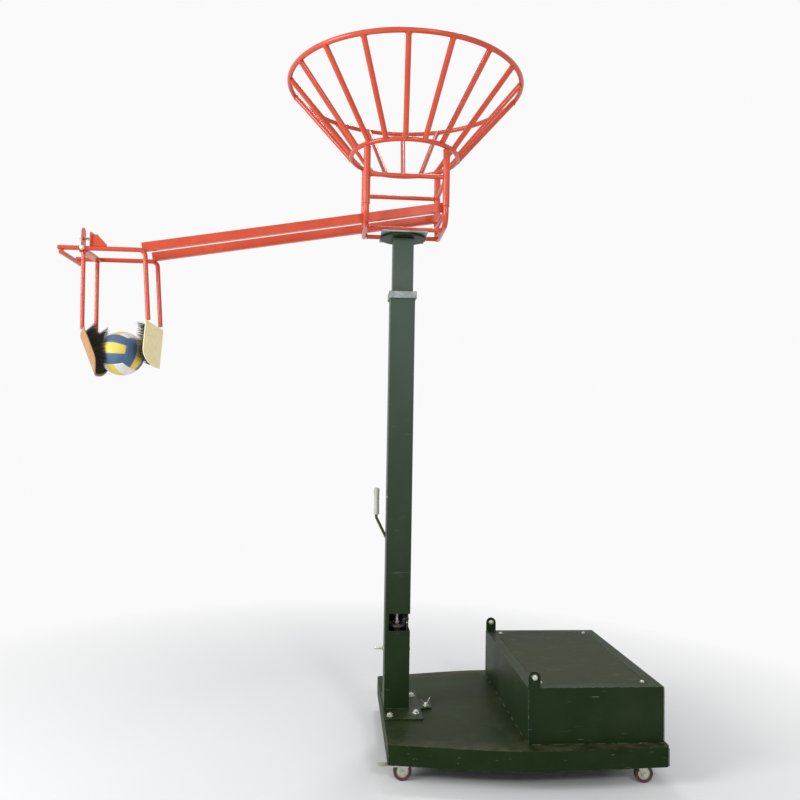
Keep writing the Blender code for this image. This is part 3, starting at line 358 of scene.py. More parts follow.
def grower(name, *labels):
    """A geometry tree with a base mesh, named inputs and a finish; the tree and its inputs."""
    tree = bpy.data.node_groups.new(name, 'GeometryNodeTree')
    kinds = {"Geometry": "Geometry", "Seed": "Int", "Rib Count": "Int", "Finish": "Material"}
    for label in ("Geometry", *labels, "Finish"):
        tree.interface.new_socket(
            label, in_out='INPUT', socket_type="NodeSocket" + kinds.get(label, "Float"))
    tree.interface.new_socket("Geometry", in_out='OUTPUT', socket_type="NodeSocketGeometry")
    return tree, tree.nodes.new("NodeGroupInput").outputs


def grown(name, tree, base, values):
    """Run a geometry tree on a base mesh and keep the result as a plain mesh piece."""
    piece = bpy.data.objects.new(name, base)
    scene.collection.objects.link(piece)
    grow = piece.modifiers.new("grow", 'NODES')
    grow.node_group = tree
    for socket in tree.interface.items_tree:
        if socket.in_out == 'INPUT' and socket.name in values:
            grow[socket.identifier] = values[socket.name]
    settled(piece)
    piece.data.shade_smooth()
    piece.data.set_sharp_from_angle(angle=radians(40))
    return piece


def finish_tree(tree, given, geometry):
    """End a tree: real geometry with its material."""
    real = node(tree, "GeometryNodeRealizeInstances", {0: geometry})
    painted = node(
        tree, "GeometryNodeSetMaterial", {"Geometry": real, "Material": given["Finish"]})
    node(tree, "NodeGroupOutput", {0: painted})


def chance(low, high, seed):
    """A random value in this range for every point."""
    return node(
        seed.id_data, "FunctionNodeRandomValue", {2: low, 3: high, "Seed": seed}).outputs[1]


def swept_bar(tree, path, sides, radius, thick=None, caps=True):
    """A round bar along a path; thick varies it along the way."""
    ring = node(tree, "GeometryNodeCurvePrimitiveCircle", {"Resolution": sides, "Radius": radius})
    if thick:
        path = node(tree, "GeometryNodeSetCurveRadius", {"Curve": path, "Radius": thick})
    bar = node(
        tree, "GeometryNodeCurveToMesh", {"Curve": path, "Profile Curve": ring, "Fill Caps": caps})
    if thick and "Scale" in bar.inputs:
        wire(thick, bar.inputs["Scale"])
    return bar


bead_tree, bead_in = grower("weld_bead", "Bead Radius", "Ripple", "Seed")
path = node(bead_tree, "GeometryNodeMeshToCurve", {0: bead_in["Geometry"]})
third = maths('MULTIPLY', bead_in["Ripple"], 0.34)
fine_path = node(
    bead_tree, "GeometryNodeResampleCurve", {"Curve": path, "Length": third}, mode='LENGTH')
wave = maths('MULTIPLY', node(bead_tree, "GeometryNodeSplineParameter").outputs["Index"], 2.094)
lump = maths('MULTIPLY_ADD', maths('SINE', wave), 0.16, chance(0.82, 1.12, bead_in["Seed"]))
thick = maths('MULTIPLY', lump, bead_in["Bead Radius"])
finish_tree(bead_tree, bead_in, swept_bar(bead_tree, fine_path, 6, 1.0, thick))


def welds(name, lines, radius, finish, body, slot, ripple=0.0042):
    """Weld beads along lines of points, as one piece."""
    bm = bmesh.new()
    for line in lines:
        points = [bm.verts.new(p) for p in line]
        for a, b in zip(points, points[1:]):
            bm.edges.new((a, b))
    base = bpy.data.meshes.new(name)
    bm.to_mesh(base)
    bm.free()
    piece = grown(
        name, bead_tree, base,
        {"Bead Radius": radius, "Ripple": ripple, "Seed": 7, "Finish": finish})
    return place_piece(piece, body, slot)


deck_low, deck_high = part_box("base_deck")
MAST_X = 0.236
DECK_TOP, SKIRT_LOW = deck_high.z, deck_low.z
left_corner = (deck_low.x + 0.004, 0.4575)
right_corner = (deck_high.x - 0.004, 0.5225)
corner_seams = [
    [(x, side * y, SKIRT_LOW + 0.004), (x, side * y, DECK_TOP - 0.008)]
    for x, y in (left_corner, right_corner) for side in (-1, 1)]
welds("deck_corner_welds", corner_seams, 0.0016, green_enamel, "base", "green")


# ----------------------------------------
# Casters: four zinc-plated swivel casters, each a pressed top plate on a ball race, a fork, a
# through axle with its nut, and a brown rubber tyre on a cast hub. The two at the mast have a
# pressed foot brake.

def mottled(name, colours, noise, blend, dull, **constants):
    """A finish in two colours that noise mixes, with its place and that noise."""
    finish, place = new_finish(name, **constants)
    drift = clouds_at(place, *noise)
    covered(finish, two_tone(ranged(drift, *blend), *colours), ranged(drift, 0.0, 1.0, *dull))
    return finish, place, drift


def plated(name, bright, tarnish, rough=0.36):
    """Zinc plating: slightly yellow patches, crystals, white bloom and fine rubbing marks."""
    finish, place = new_finish(name, Metallic=0.85)
    tree = finish.node_tree
    crystals = node(
        tree, "ShaderNodeTexVoronoi", {"Vector": place, "Scale": 130.0, "Randomness": 1.0})
    spangle = node(tree, "ShaderNodeSeparateColor", {0: crystals.outputs["Color"]})
    bloom = clouds_at(place, 24.0, 8.0, 0.7)
    patch = ranged(bloom, 0.40, 0.72)
    colour = two_tone(maths('MULTIPLY_ADD', spangle, 0.28, patch), bright, tarnish)
    lines = clouds_at(mapped(place, (500.0, 60.0, 500.0)), 1.0, 3.0)
    rougher = maths('MULTIPLY_ADD', patch, 0.22, rough)
    dents = relief(bloom, 0.20, 0.0005, relief(lines, 0.12, 0.0003))
    return covered(finish, colour, rougher, dents)


def ring_faces(bm, a, b):
    """Faces all round between two rings of as many points."""
    for k, end in enumerate(a):
        bm.faces.new((end, a[(k + 1) % len(a)], b[(k + 1) % len(a)], b[k]))


def revolved(name, profile, finish, seat, place, axis="z", steps=40, crease=35):
    """A closed profile of (radius, height) turned round an axis through a place.

    The seat is the body, the slot and the CAD node, if any, that the piece stands for.
    """
    bm = bmesh.new()
    rings = []
    for radius, height in profile:
        if radius < 1e-6:
            rings.append([bm.verts.new((0, 0, height))])
        else:
            rings.append(
                [bm.verts.new((radius * cos(2 * pi * k / steps), radius * sin(2 * pi * k / steps),
                               height)) for k in range(steps)])
    closed = profile[0][0] > 1e-6
    for a, b in zip(rings, rings[1:] + (rings[:1] if closed else [])):
        for k in range(steps):
            corners = [a[k % len(a)], a[(k + 1) % len(a)], b[(k + 1) % len(b)], b[k % len(b)]]
            corners = list(dict.fromkeys(corners))
            if len(corners) > 2:
                bm.faces.new(corners)
    turns = {"x": Matrix.Rotation(pi / 2, 4, 'Y'), "y": Matrix.Rotation(-pi / 2, 4, 'X'),
             "z": Matrix.Identity(4)}
    bm.transform(Matrix.Translation(place) @ turns[axis])
    bmesh.ops.recalc_face_normals(bm, faces=bm.faces)
    return place_piece(mesh_piece(name, bm, finish, crease), *seat)


zinc = plated("zinc_plate", linear(208, 212, 206), linear(184, 180, 156))
# moulded rubber, scuffed dull and a little dusty
tyre_rubber, place, _ = mottled(
    "tyre_rubber", (linear(78, 42, 38), linear(104, 76, 68)), (60.0, 8.0, 0.7), (0.42, 0.70),
    (0.5, 0.85))
covered(tyre_rubber, normal=relief(clouds_at(place, 1500.0, 2.0), 0.25, 0.0003))
# outlines of the tyre and the hub from one side to the other
OUTER = [(0.0345, 0.0130), (0.0368, 0.0135), (0.0388, 0.0120), (0.03975, 0.0084), (0.040, 0.0042)]
TREAD = OUTER + [(0.040, 0.0)] + [(r, -h) for r, h in OUTER[::-1]] + [
    (0.0262, -0.0105), (0.0255, -0.0080), (0.0255, 0.0080), (0.0262, 0.0105)]
HALF_HUB = [
    (0.0056, 0.0155), (0.0110, 0.0155), (0.0125, 0.0145), (0.0138, 0.0085), (0.0228, 0.0070),
    (0.0246, 0.0095), (0.0258, 0.0095)]
HUB = HALF_HUB + [(r, -h) for r, h in HALF_HUB[::-1]]
for corner in ("near_left", "far_left", "near_right", "far_right"):
    body = "caster_" + corner
    low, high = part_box(body + "_wheel")
    hub = (low + high) / 2
    wheel_body = frame["nodes"][body + "_wheel"]["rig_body"]
    revolved(
        body + "_tyre", TREAD, tyre_rubber, (wheel_body, "tyre", body + "_wheel"), hub, "y", 64)
    revolved(body + "_hub", HUB, zinc, (wheel_body, "zinc"), hub, "y")
    metal_part(body + "_fork_metal", body + "_fork", zinc,
               frame["nodes"][body + "_fork"]["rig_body"], "zinc", 0.0007)
    metal_part(body + "_plate_metal", body + "_plate", zinc, "base", "zinc")
    if corner.endswith("left"):
        name = body + "_brake_pedal"
        metal_part(name + "_metal", name, zinc, frame["nodes"][name]["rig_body"], "zinc")


# ----------------------------------------
# Mast foot: a thick plate under the mast, held to the deck by four hex bolts with washers and,
# at its tongue, by one wing bolt that comes out by hand.

# a hex nut or head with a washer and a bolt end, on every point of the base mesh
hex_tree, given = grower(
    "hex_fastener", "Across Corners", "Height", "Washer Radius", "Washer Height", "Stud Radius",
    "Stud Height", "Seed")


def standing(vertices, radius, height, foot, top=None):
    """A round or six-sided block that stands this high above the base."""
    shape = node(
        hex_tree, "GeometryNodeMeshCone",
        {"Vertices": vertices, "Radius Bottom": radius, "Radius Top": top or radius,
         "Depth": height})
    lift = node(hex_tree, "ShaderNodeCombineXYZ", {"Z": foot})
    return node(hex_tree, "GeometryNodeTransform", {"Geometry": shape, "Translation": lift})


body_h = maths('MULTIPLY', given["Height"], 0.84)
body_top = maths('ADD', given["Washer Height"], body_h)
washer = standing(28, given["Washer Radius"], given["Washer Height"], 0.0)
body = standing(6, given["Across Corners"], body_h, given["Washer Height"])
chamfer = standing(
    6, given["Across Corners"], maths('MULTIPLY', given["Height"], 0.16), body_top,
    maths('MULTIPLY', given["Across Corners"], 0.86))
stud_foot = maths('ADD', body_top, maths('MULTIPLY', given["Height"], 0.10))
stud = standing(
    14, given["Stud Radius"], given["Stud Height"], stud_foot,
    maths('MULTIPLY', given["Stud Radius"], 0.86))
whole = node(hex_tree, "GeometryNodeJoinGeometry", {0: [washer, body, chamfer, stud]})
turned = node(hex_tree, "ShaderNodeCombineXYZ", {"Z": chance(0.0, 6.28, given["Seed"])})
placed = node(
    hex_tree, "GeometryNodeInstanceOnPoints",
    {"Points": given["Geometry"], "Instance": whole, "Rotation": turned})
finish_tree(hex_tree, given, placed)


def fasteners(name, points, finish, body, slot, corners=0.0092, height=0.0066,
              washer=(0.0115, 0.0016), stud=(0.005, 0.004), axis=(0, 0, 1), seed=3):
    """Hex fasteners that stand on these points along an axis, as one piece."""
    turn = Vector((0, 0, 1)).rotation_difference(Vector(axis)).to_matrix().to_4x4()
    base = bpy.data.meshes.new(name)
    base.from_pydata([turn.inverted() @ Vector(p) for p in points], [], [])
    piece = grown(name, hex_tree, base, {
        "Across Corners": corners, "Height": height, "Washer Radius": washer[0],
        "Washer Height": washer[1], "Stud Radius": stud[0], "Stud Height": stud[1],
        "Seed": seed, "Finish": finish})
    piece.data.transform(turn)
    return place_piece(piece, body, slot)


metal_part("foot_plate", "mast_foot_plate", green_enamel, "base", "green", 0.0012, 3)
foot_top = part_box("mast_foot_plate")[1].z
FOOT_BOLTS = [
    (x + MAST_X, side * y, foot_top) for x, y in ((0.088, 0.118), (-0.036, 0.150))
    for side in (-1, 1)]
fasteners(
    "foot_hex_bolts", FOOT_BOLTS, zinc, "base", "zinc", 0.0135, 0.0098, (0.0165, 0.0022),
    (0.0070, 0.0040))
HALF_MAST = 0.0600
weld_out = HALF_MAST + 0.0005
around_mast = [
    (MAST_X + weld_out * x, weld_out * y, foot_top + 0.001)
    for x, y in ((-1, -1), (1, -1), (1, 1), (-1, 1), (-1, -1))]
welds("mast_foot_weld", [around_mast], 0.0030, green_enamel, "base", "green", 0.0055)

# the wing bolt: two pressed wings on a boss, over a washer
wing = bmesh.new()
wing_low, wing_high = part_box("foot_wing_bolt")
centre = (wing_low + wing_high) / 2
wing_foot = foot_top + 0.0002
revolved(
    "wing_bolt_stem",
    [(0.0, 0.0), (0.0140, 0.0), (0.0145, 0.0007), (0.0140, 0.0020), (0.0098, 0.0022),
     (0.0088, 0.0110), (0.0070, 0.0135), (0.0, 0.0140)], zinc,
    ("foot_wing_bolt", "zinc", "foot_wing_bolt"), (centre.x, centre.y, wing_foot), steps=36)
for side in (-1, 1):
    rows = []
    for k in range(15):
        t = k / 14
        reach = 0.0065 + 0.0195 * t
        rise = 0.0050 + 0.0260 * t ** 1.15
        tall = 0.0084 + 0.0070 * sin(pi * min(1.0, t * 1.05)) ** 0.8
        thick = 0.0034 - 0.0010 * (reach / 0.026)
        rows.append([wing.verts.new((side * reach, s * thick, rise + h * tall))
                     for s, h in ((-1, -0.5), (1, -0.5), (1, 0.5), (-1, 0.5))])
    for a, b in zip(rows, rows[1:]):
        ring_faces(wing, a, b)
    wing.faces.new(rows[0])
    wing.faces.new(rows[-1])
bmesh.ops.transform(wing, matrix=Matrix.Translation((centre.x, centre.y, wing_foot + 0.001))
                    @ Matrix.Rotation(0.5, 4, 'Z'), verts=wing.verts)
bmesh.ops.recalc_face_normals(wing, faces=wing.faces)
wings = mesh_piece("wing_bolt_wings", wing, zinc, 50)
rounded(wings, 0.0008, 2)
place_piece(settled(wings), "foot_wing_bolt", "zinc")


# ----------------------------------------
# Ballast box: welded from the same sheet as the deck, with a rebate round its top for the lid
# and two D-shaped lugs bolted through. Short welds stitch its lower edges to the deck. The iron
# slab lies inside.

box_enamel = enamel("box_green_enamel", chips=0.95, shine=0.10)
weld_enamel = enamel("weld_enamel", linear(40, 54, 33), linear(66, 76, 55), chips=0.45)
metal_part("box_shell", "ballast_box", box_enamel, "base", "green", 0.0016, 3)
box_low, box_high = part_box("ballast_box")
stitches = []
y = box_low.y
while y < box_high.y - 0.03:
    stitches.append(
        [(box_low.x - 0.0005, y + 0.012, DECK_TOP + 0.001),
         (box_low.x - 0.0005, min(y + 0.052, box_high.y), DECK_TOP + 0.001)])
    y += 0.088
x = box_low.x
while x < box_high.x - 0.02:
    for edge in (box_low.y - 0.0005, box_high.y + 0.0005):
        stitches.append([(x + 0.015, edge, DECK_TOP + 0.001),
                         (min(x + 0.055, box_high.x), edge, DECK_TOP + 0.001)])
    x += 0.094
welds("box_stitch_welds", stitches, 0.0036, weld_enamel, "base", "green", 0.0052)
BOX_TOP = 0.415
box_corners = [
    [(x, y, DECK_TOP + 0.004), (x, y, BOX_TOP - 0.004)]
    for x in (box_low.x + 0.0006, box_high.x - 0.0006)
    for y in (box_low.y + 0.0006, box_high.y - 0.0006)]
welds("box_corner_welds", box_corners, 0.0012, weld_enamel, "base", "green")

# rough sand-cast iron with a bloom of rust
iron, place, _ = mottled(
    "cast_iron", (linear(58, 57, 55), linear(104, 72, 52)), (22.0, 9.0, 0.7), (0.46, 0.68),
    (0.55, 0.9), Metallic=0.35)
covered(iron, normal=relief(clouds_at(place, 330.0, 5.0), 0.6, 0.0006))
metal_part("ballast_slab", "ballast_block", iron, "base", "iron", 0.004, 3)

# the round bolts in the two lugs, each with its head outside and its nut inside
BOLT_HEAD = [
    (0.0, 0.0078), (0.0098, 0.0076), (0.0126, 0.0062), (0.0138, 0.0040), (0.0140, 0.0001),
    (0.0, 0.0001)]
for side in (-1, 1):
    for where, face, way in (("head", 0.4798, 1), ("nut", 0.4740, -1)):
        revolved("lug_bolt_" + where + ("_near" if side < 0 else "_far"),
                 [(r, side * way * h) for r, h in BOLT_HEAD], zinc, ("base", "zinc"),
                 (box_low.x + 0.0265, side * face, BOX_TOP + 0.045), "y", 36)


# ----------------------------------------
# Lid: an olive plate lying flush in the box's rebate and held down by four zinc screws. People
# step on it, so its paint is rubbed thin.

olive_enamel = enamel(
    "olive_enamel", linear(44, 53, 35), linear(60, 65, 47), gloss=0.46, dust=0.40, chips=0.7,
    shine=0.05)
place = node(olive_enamel.node_tree, "ShaderNodeTexCoord").outputs["Object"]
dragged = mapped(place, (7.0, 24.0, 7.0), (0, 0, 0.25))
rubs = ranged(clouds_at(dragged, 1.0, 12.0, 0.78, 0.8), 0.57, 0.72, 0.0, 0.65)
laid_over(olive_enamel, rubs, linear(122, 124, 98))
metal_part("lid_plate", "ballast_lid", olive_enamel, "lid", "olive", 0.0008, 3)
LID_SCREWS = [(x + MAST_X, side * 0.4135, BOX_TOP) for x in (0.6025, 1.0635) for side in (-1, 1)]
fasteners(
    "lid_screws", LID_SCREWS, zinc, "lid", "zinc", 0.0088, 0.0048, (0.0105, 0.0014),
    (0.0030, 0.0012), seed=11)


# ----------------------------------------
# Mast: a 120 mm square tube with a gear window low on its front, capped by a galvanised collar
# with a welded seam and a white plastic liner, in which the 100 mm inner tube slides. Both
# tubes are enamelled, and the outer one's colour is mixed lighter toward its top.

mast_enamel = enamel("mast_green_enamel", chips=0.65)
# the paint colour is mixed lighter and lighter towards the top of the tube
place = node(mast_enamel.node_tree, "ShaderNodeTexCoord").outputs["Object"]
climb = ranged(axis_of(place, "Z"), 0.55, 2.15, 0.0, 0.86)
lighter_towards_top = maths('MULTIPLY', climb, ranged(clouds_at(place, 3.0, 6.0), 0.2, 0.6, 0.75))
laid_over(mast_enamel, lighter_towards_top, linear(72, 86, 76))
metal_part("outer_tube", "outer_mast", mast_enamel, "base", "green", 0.0022, 3)
inner_enamel = enamel(
    "inner_green_enamel", linear(64, 79, 68), linear(78, 90, 78), dust=0.15, chips=0.3)
metal_part("inner_tube", "inner_mast", inner_enamel, "carriage", "green", 0.0030, 4)
galvanised = plated("galvanised", linear(136, 145, 146), linear(118, 124, 120), 0.46)
metal_part("collar_band", "mast_collar", galvanised, "base", "zinc", 0.0016, 3)
collar_low, collar_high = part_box("mast_collar")
seam = [[(MAST_X - 0.066, -0.0678, collar_low.z + 0.003),
         (MAST_X - 0.066, -0.0678, collar_high.z - 0.003)]]
welds("collar_seam", seam, 0.0010, galvanised, "base", "zinc")


def moulded(name, plastic, rough=0.45):
    """Moulded plastic with a fine matt texture and slight yellowing."""
    aged = tuple(c * f for c, f in zip(plastic[:3], (0.86, 0.80, 0.68))) + (1.0,)
    finish, place, _ = mottled(
        name, (plastic, aged), (18.0, 6.0), (0.4, 0.75), (rough, rough + 0.2))
    pores = node(place.id_data, "ShaderNodeTexVoronoi", {"Vector": place, "Scale": 900.0})
    return covered(finish, normal=relief(pores, 0.2, 0.0002))


nylon = moulded("white_nylon", linear(218, 216, 206))
metal_part("liner_sleeve", "collar_liner", nylon, "base", "nylon")
revolved(
    "mast_side_screw",
    [(0.0, -0.0030), (0.0030, -0.0028), (0.0052, -0.0016), (0.0056, 0.0), (0.0, 0.0)], zinc,
    ("base", "zinc"), (MAST_X - HALF_MAST, -0.051, 1.191), "x", 24)


# ----------------------------------------
# Lift: a steel lead screw stands in a cast iron block across the mast. A crown gear on it is
# driven by a small pinion behind the window, and a brass nut carries the inner tube up.

def cut_steel(name, bright, dark, grease, rough=0.28):
    """Turned steel: fine rings from the tool, dark grease in the low places."""
    finish, place = new_finish(name, Metallic=0.75)
    amount = ranged(clouds_at(place, 75.0, 7.0, 0.65), 0.40, 0.62, 0.0, grease)
    colour = two_tone(amount, bright, dark)
    tooling = clouds_at(mapped(place, (15.0, 15.0, 1800.0)), 1.0, 2.0)
    duller = maths('MULTIPLY_ADD', amount, 0.25, rough)
    return covered(finish, colour, duller, relief(tooling, 0.15, 0.0002))


steel = cut_steel("turned_steel", linear(206, 208, 202), linear(60, 58, 48), 0.6)
greased = cut_steel("greased_steel", linear(96, 96, 86), linear(28, 30, 22), 0.9, 0.34)
brass = cut_steel("turned_brass", linear(186, 158, 96), linear(84, 66, 38), 0.6, 0.35)
screw_low, screw_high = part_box("lead_screw")
SCREW_R, THREAD_DEPTH, PITCH, THREAD_START = 0.0110, 0.0017, 0.0060, 0.625
profile = ((0.0, 0.0), (0.16, 0.0), (0.34, 1.0), (0.66, 1.0), (0.84, 0.0))
AROUND, per_turn = 28, len(profile)
thread = bmesh.new()
turns_up = int((screw_high.z - 0.008 - THREAD_START) / PITCH)
rows = []
for step in range(turns_up * per_turn + 1):
    turn_no, part = divmod(step, per_turn)
    share, depth = profile[part]
    radius = SCREW_R - THREAD_DEPTH * depth
    rows.append([])
    for k in range(AROUND):
        lift = (share + turn_no) * PITCH + PITCH * k / AROUND
        angle = 2 * pi * k / AROUND
        rows[-1].append(thread.verts.new((MAST_X + radius * cos(angle), radius * sin(angle),
                                          THREAD_START + lift)))
for a, b in zip(rows, rows[1:]):
    for k in range(AROUND - 1):
        thread.faces.new((a[k], a[k + 1], b[k + 1], b[k]))
for i in range(len(rows) - per_turn - 1):
    thread.faces.new(
        (rows[i][-1], rows[i + per_turn][0], rows[i + per_turn + 1][0], rows[i + 1][-1]))
for chain in (rows[0] + [rows[i][0] for i in range(per_turn, 0, -1)],
              rows[-1][::-1] + [row[-1] for row in rows[-per_turn - 1:-1]]):
    middle = thread.verts.new(sum((v.co for v in chain), Vector()) / len(chain))
    for p, q in zip(chain, chain[1:] + chain[:1]):
        if p is not q:
            thread.faces.new((p, q, middle))
bmesh.ops.recalc_face_normals(thread, faces=thread.faces)
lead = mesh_piece("lead_screw_thread", thread, steel, 30)
place_piece(lead, "screw", "steel", "lead_screw")
revolved(
    "lead_screw_journal",
    [(0.0, screw_low.z), (0.0085, screw_low.z), (0.0090, screw_low.z + 0.0006), (0.0090, 0.6240),
     (0.0096, 0.6295), (0.0, 0.6300)], steel, ("screw", "steel"), (MAST_X, 0, 0))
metal_part("crown_wheel", "crown_gear", greased, "screw", "steel", 0.0004, 2, 30)
revolved(
    "crown_hub_nut",
    [(0.0092, 0.5805), (0.0165, 0.5805), (0.0172, 0.5812), (0.0172, 0.5850), (0.0150, 0.5868),
     (0.0092, 0.5868)], steel, ("screw", "steel"), (MAST_X, 0, 0), "z", 6, 20)
metal_part("pinion_wheel", "drive_pinion", greased, "pinion", "steel", 0.0004, 2, 30)
metal_part("bearing_block", "gear_block", iron, "base", "iron", 0.0020, 3)
revolved(
    "pinion_post_screw",
    [(0.0, -0.0026), (0.0022, -0.0024), (0.0036, -0.0014), (0.0039, 0.0), (0.0, 0.0)], zinc,
    ("base", "zinc"), (MAST_X + 0.048, -0.0181, 0.581), "y", 24)
metal_part("brass_nut", "lift_nut", brass, "carriage", "brass", 0.0008, 2)
metal_part("block_through_bolt", "gear_block_bolt", zinc, "base", "zinc")
fasteners(
    "block_bolt_nut", [(MAST_X - HALF_MAST - 0.0002, 0, 0.455)], zinc, "base", "zinc", 0.0104,
    0.0080, (0.0120, 0.0016), (0.0058, 0.002), (-1, 0, 0), 5)


# ----------------------------------------
# Crank: a bent olive rod with a free-turning grey grip, put away upright in two eyes on a zinc
# strip that is screwed to the back of the mast.

def arc_path(points, radius, steps=10):
    """A path of straight runs with each corner turned in an arc."""
    points = [Vector(p) for p in points]
    path = [points[0]]
    for before, corner, after in zip(points, points[1:], points[2:]):
        a, b = (before - corner).normalized(), (after - corner).normalized()
        half_angle = a.angle(b) / 2
        reach = radius / tan(half_angle)
        start, end = corner + a * reach, corner + b * reach
        centre = corner + (a + b).normalized() * radius / sin(half_angle)
        spoke, last = start - centre, end - centre
        sweep = spoke.angle(last)
        normal = spoke.cross(last).normalized()
        for k in range(steps + 1):
            path.append(centre + Quaternion(normal, sweep * k / steps) @ spoke)
    path.append(points[-1])
    return path


def round_bar(bm, path, radius, sides):
    """Sweep a circle along a path into a bmesh, with slightly domed ends."""
    path = [Vector(p) for p in path]
    tangents = [(ahead - behind).normalized()
                for ahead, behind in zip(path[1:] + path[-1:], path[:1] + path[:-1])]
    across = tangents[0].orthogonal().normalized()
    rings = []
    for k, (point, tangent) in enumerate(zip(path, tangents)):
        if k:
            across = tangents[k - 1].rotation_difference(tangent) @ across
        across = (across - tangent * across.dot(tangent)).normalized()
        other = tangent.cross(across)
        rings.append([bm.verts.new(point + radius * (cos(2 * pi * s / sides) * across
                                                     + sin(2 * pi * s / sides) * other))
                      for s in range(sides)])
    for a, b in zip(rings, rings[1:]):
        ring_faces(bm, a, b)
    for rim, point, tangent in ((rings[0], path[0], -tangents[0]),
                                (rings[-1], path[-1], tangents[-1])):
        cap = [bm.verts.new(point + (v.co - point) * 0.75 + tangent * radius * 0.042) for v in rim]
        ring_faces(bm, rim, cap)
        bm.faces.new(cap)


def bar_piece(name, runs, finish, seat, sides=24):
    """One piece of round bars in its seat, each run a path with its radius."""
    bm = bmesh.new()
    for path, radius in runs:
        round_bar(bm, path, radius, sides)
    bmesh.ops.recalc_face_normals(bm, faces=bm.faces)
    return place_piece(mesh_piece(name, bm, finish, 50), *seat)


CRANK_Y, CRANK_X, GRIP_X = 0.080, MAST_X - 0.020, MAST_X - 0.105
crank_line = arc_path(
    [(CRANK_X, CRANK_Y, 0.725), (CRANK_X, CRANK_Y, 0.910), (GRIP_X, CRANK_Y, 1.078),
     (GRIP_X, CRANK_Y, 1.225)], 0.022)
crank_enamel = enamel("crank_enamel", linear(78, 74, 52), linear(100, 94, 70))
bar_piece("crank_rod", [(crank_line, 0.007)], crank_enamel, ("crank", "olive", "crank_arm"))
grip_plastic = moulded("grey_grip", linear(190, 192, 188), 0.5)
GRIP_LOW, GRIP_HIGH = 1.092, 1.223
grip_profile = [(0.0076, GRIP_LOW), (0.0112, GRIP_LOW), (0.0128, GRIP_LOW + 0.0012)]
for k in range(25):
    t = k / 24
    belly = 0.0145 - 0.0010 * sin(pi * t) ** 2
    groove = 0.0007 if k % 3 == 1 and 2 < k < 22 else 0.0
    grip_profile.append((belly - groove, GRIP_LOW + 0.005 + (GRIP_HIGH - GRIP_LOW - 0.010) * t))
grip_profile += [(0.0128, GRIP_HIGH - 0.0012), (0.0112, GRIP_HIGH), (0.0076, GRIP_HIGH)]
revolved("crank_handle", grip_profile, grip_plastic, ("crank_grip", "grip", "crank_grip"),
         (GRIP_X, CRANK_Y, 0))
metal_part("crank_eye_strip", "crank_holder", zinc, "base", "zinc")
fasteners(
    "crank_strip_screws", [(CRANK_X, 0.0643, z) for z in (0.825, 0.852)], zinc, "base", "zinc",
    0.0060, 0.0040, (0.0072, 0.0008), (0.002, 0.001), (0, 1, 0), 9)


# ----------------------------------------
# Head: a dark round disc welded on the inner tube, on which a galvanised square plate turns
# about a spigot. One nut holds it down and two bolts lock it.

metal_part("head_disc", "turntable_disc", green_enamel, "carriage", "green", 0.0012, 3, 30)
metal_part("head_square_plate", "head_plate", galvanised, "head", "zinc", 0.0014, 3)
PLATE_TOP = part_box("head_plate")[1].z
king_low, king_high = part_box("king_nut")
revolved(
    "head_king_nut",
    [(0.0126, king_low.z), (0.0205, king_low.z), (0.0215, king_low.z + 0.0008),
     (0.0215, king_high.z - 0.0014), (0.0200, king_high.z), (0.0126, king_high.z)], zinc,
    ("carriage", "zinc", "king_nut"), (MAST_X, 0, 0), "z", 6, 20)
fasteners(
    "head_lock_bolts", [(MAST_X + x, 0, PLATE_TOP) for x in (0.095, -0.095)], zinc, "head", "zinc",
    0.0105, 0.0075, (0.0130, 0.0018), (0.005, 0.003), seed=21)
neck = []
for k in range(33):
    angle = pi / 4 + 2 * pi * k / 32
    flat = 0.0505 / max(abs(cos(angle)), abs(sin(angle)))
    neck.append((MAST_X + flat * cos(angle), flat * sin(angle), 2.4585))
welds("neck_weld", [neck], 0.0024, green_enamel, "carriage", "green", 0.0050)


# ----------------------------------------
# Cage: two U-shaped tubes pass under the rails, with thicker posts on their ends that carry the
# funnel, and straight bars between them. All of it is welded and sprayed orange-red.

red_enamel = enamel(
    "red_enamel", linear(200, 68, 38), linear(208, 84, 54), linear(186, 166, 150), gloss=0.20,
    dust=0.14, chips=0.45, shine=0.45)
CAGE_X, CAGE_Y, POST_LOW, POST_TOP = 0.190, 0.175, 2.587, 2.8582
POST_R, CAGE_R, BAR_R, CAGE_LOW = 0.0165, 0.0135, 0.011, 2.5009
TOP_BAR, RAIL_Z, RAIL_SLOPE = 2.727, 2.591, 0.1735
RAIL_STRETCH = sqrt(1 + RAIL_SLOPE ** 2)


def span_of(source, way):
    """The straight line along a CAD part's middle, along x (0) or y (1)."""
    low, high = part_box(source)
    ends = (low + high) / 2, (low + high) / 2
    ends[0][way], ends[1][way] = low[way], high[way]
    return list(ends)


for name, side in (("left", -1), ("right", 1)):
    x = MAST_X + side * CAGE_X
    u_line = arc_path(
        [(x, -CAGE_Y, POST_LOW + 0.004), (x, -CAGE_Y, CAGE_LOW), (x, CAGE_Y, CAGE_LOW),
         (x, CAGE_Y, POST_LOW + 0.004)], 0.060, 14)
    runs = [(u_line, CAGE_R)]
    for y in (-CAGE_Y, CAGE_Y):
        runs.append(([(x, y, POST_LOW), (x, y, POST_TOP)], POST_R))
    if side > 0:
        # the low bar lies just under the sloping rails
        under_rail = RAIL_Z + RAIL_SLOPE * CAGE_X - 0.043 * RAIL_STRETCH + 0.0006
        low_bar = under_rail - (BAR_R + 0.0003) * RAIL_STRETCH
        runs += [([(x, -CAGE_Y, z), (x, CAGE_Y, z)], BAR_R) for z in (TOP_BAR, low_bar)]
    bar_piece("cage_frame_" + name, runs, red_enamel, ("head", "red", "cage_side_" + name))
for where, side in (("near", -1), ("far", 1)):
    for level in ("top", "bottom"):
        source = f"cage_{level}_bar_{where}"
        bar_piece(f"cage_{level}_tube_{where}", [(span_of(source, 0), BAR_R)], red_enamel,
                  ("head", "red", source))


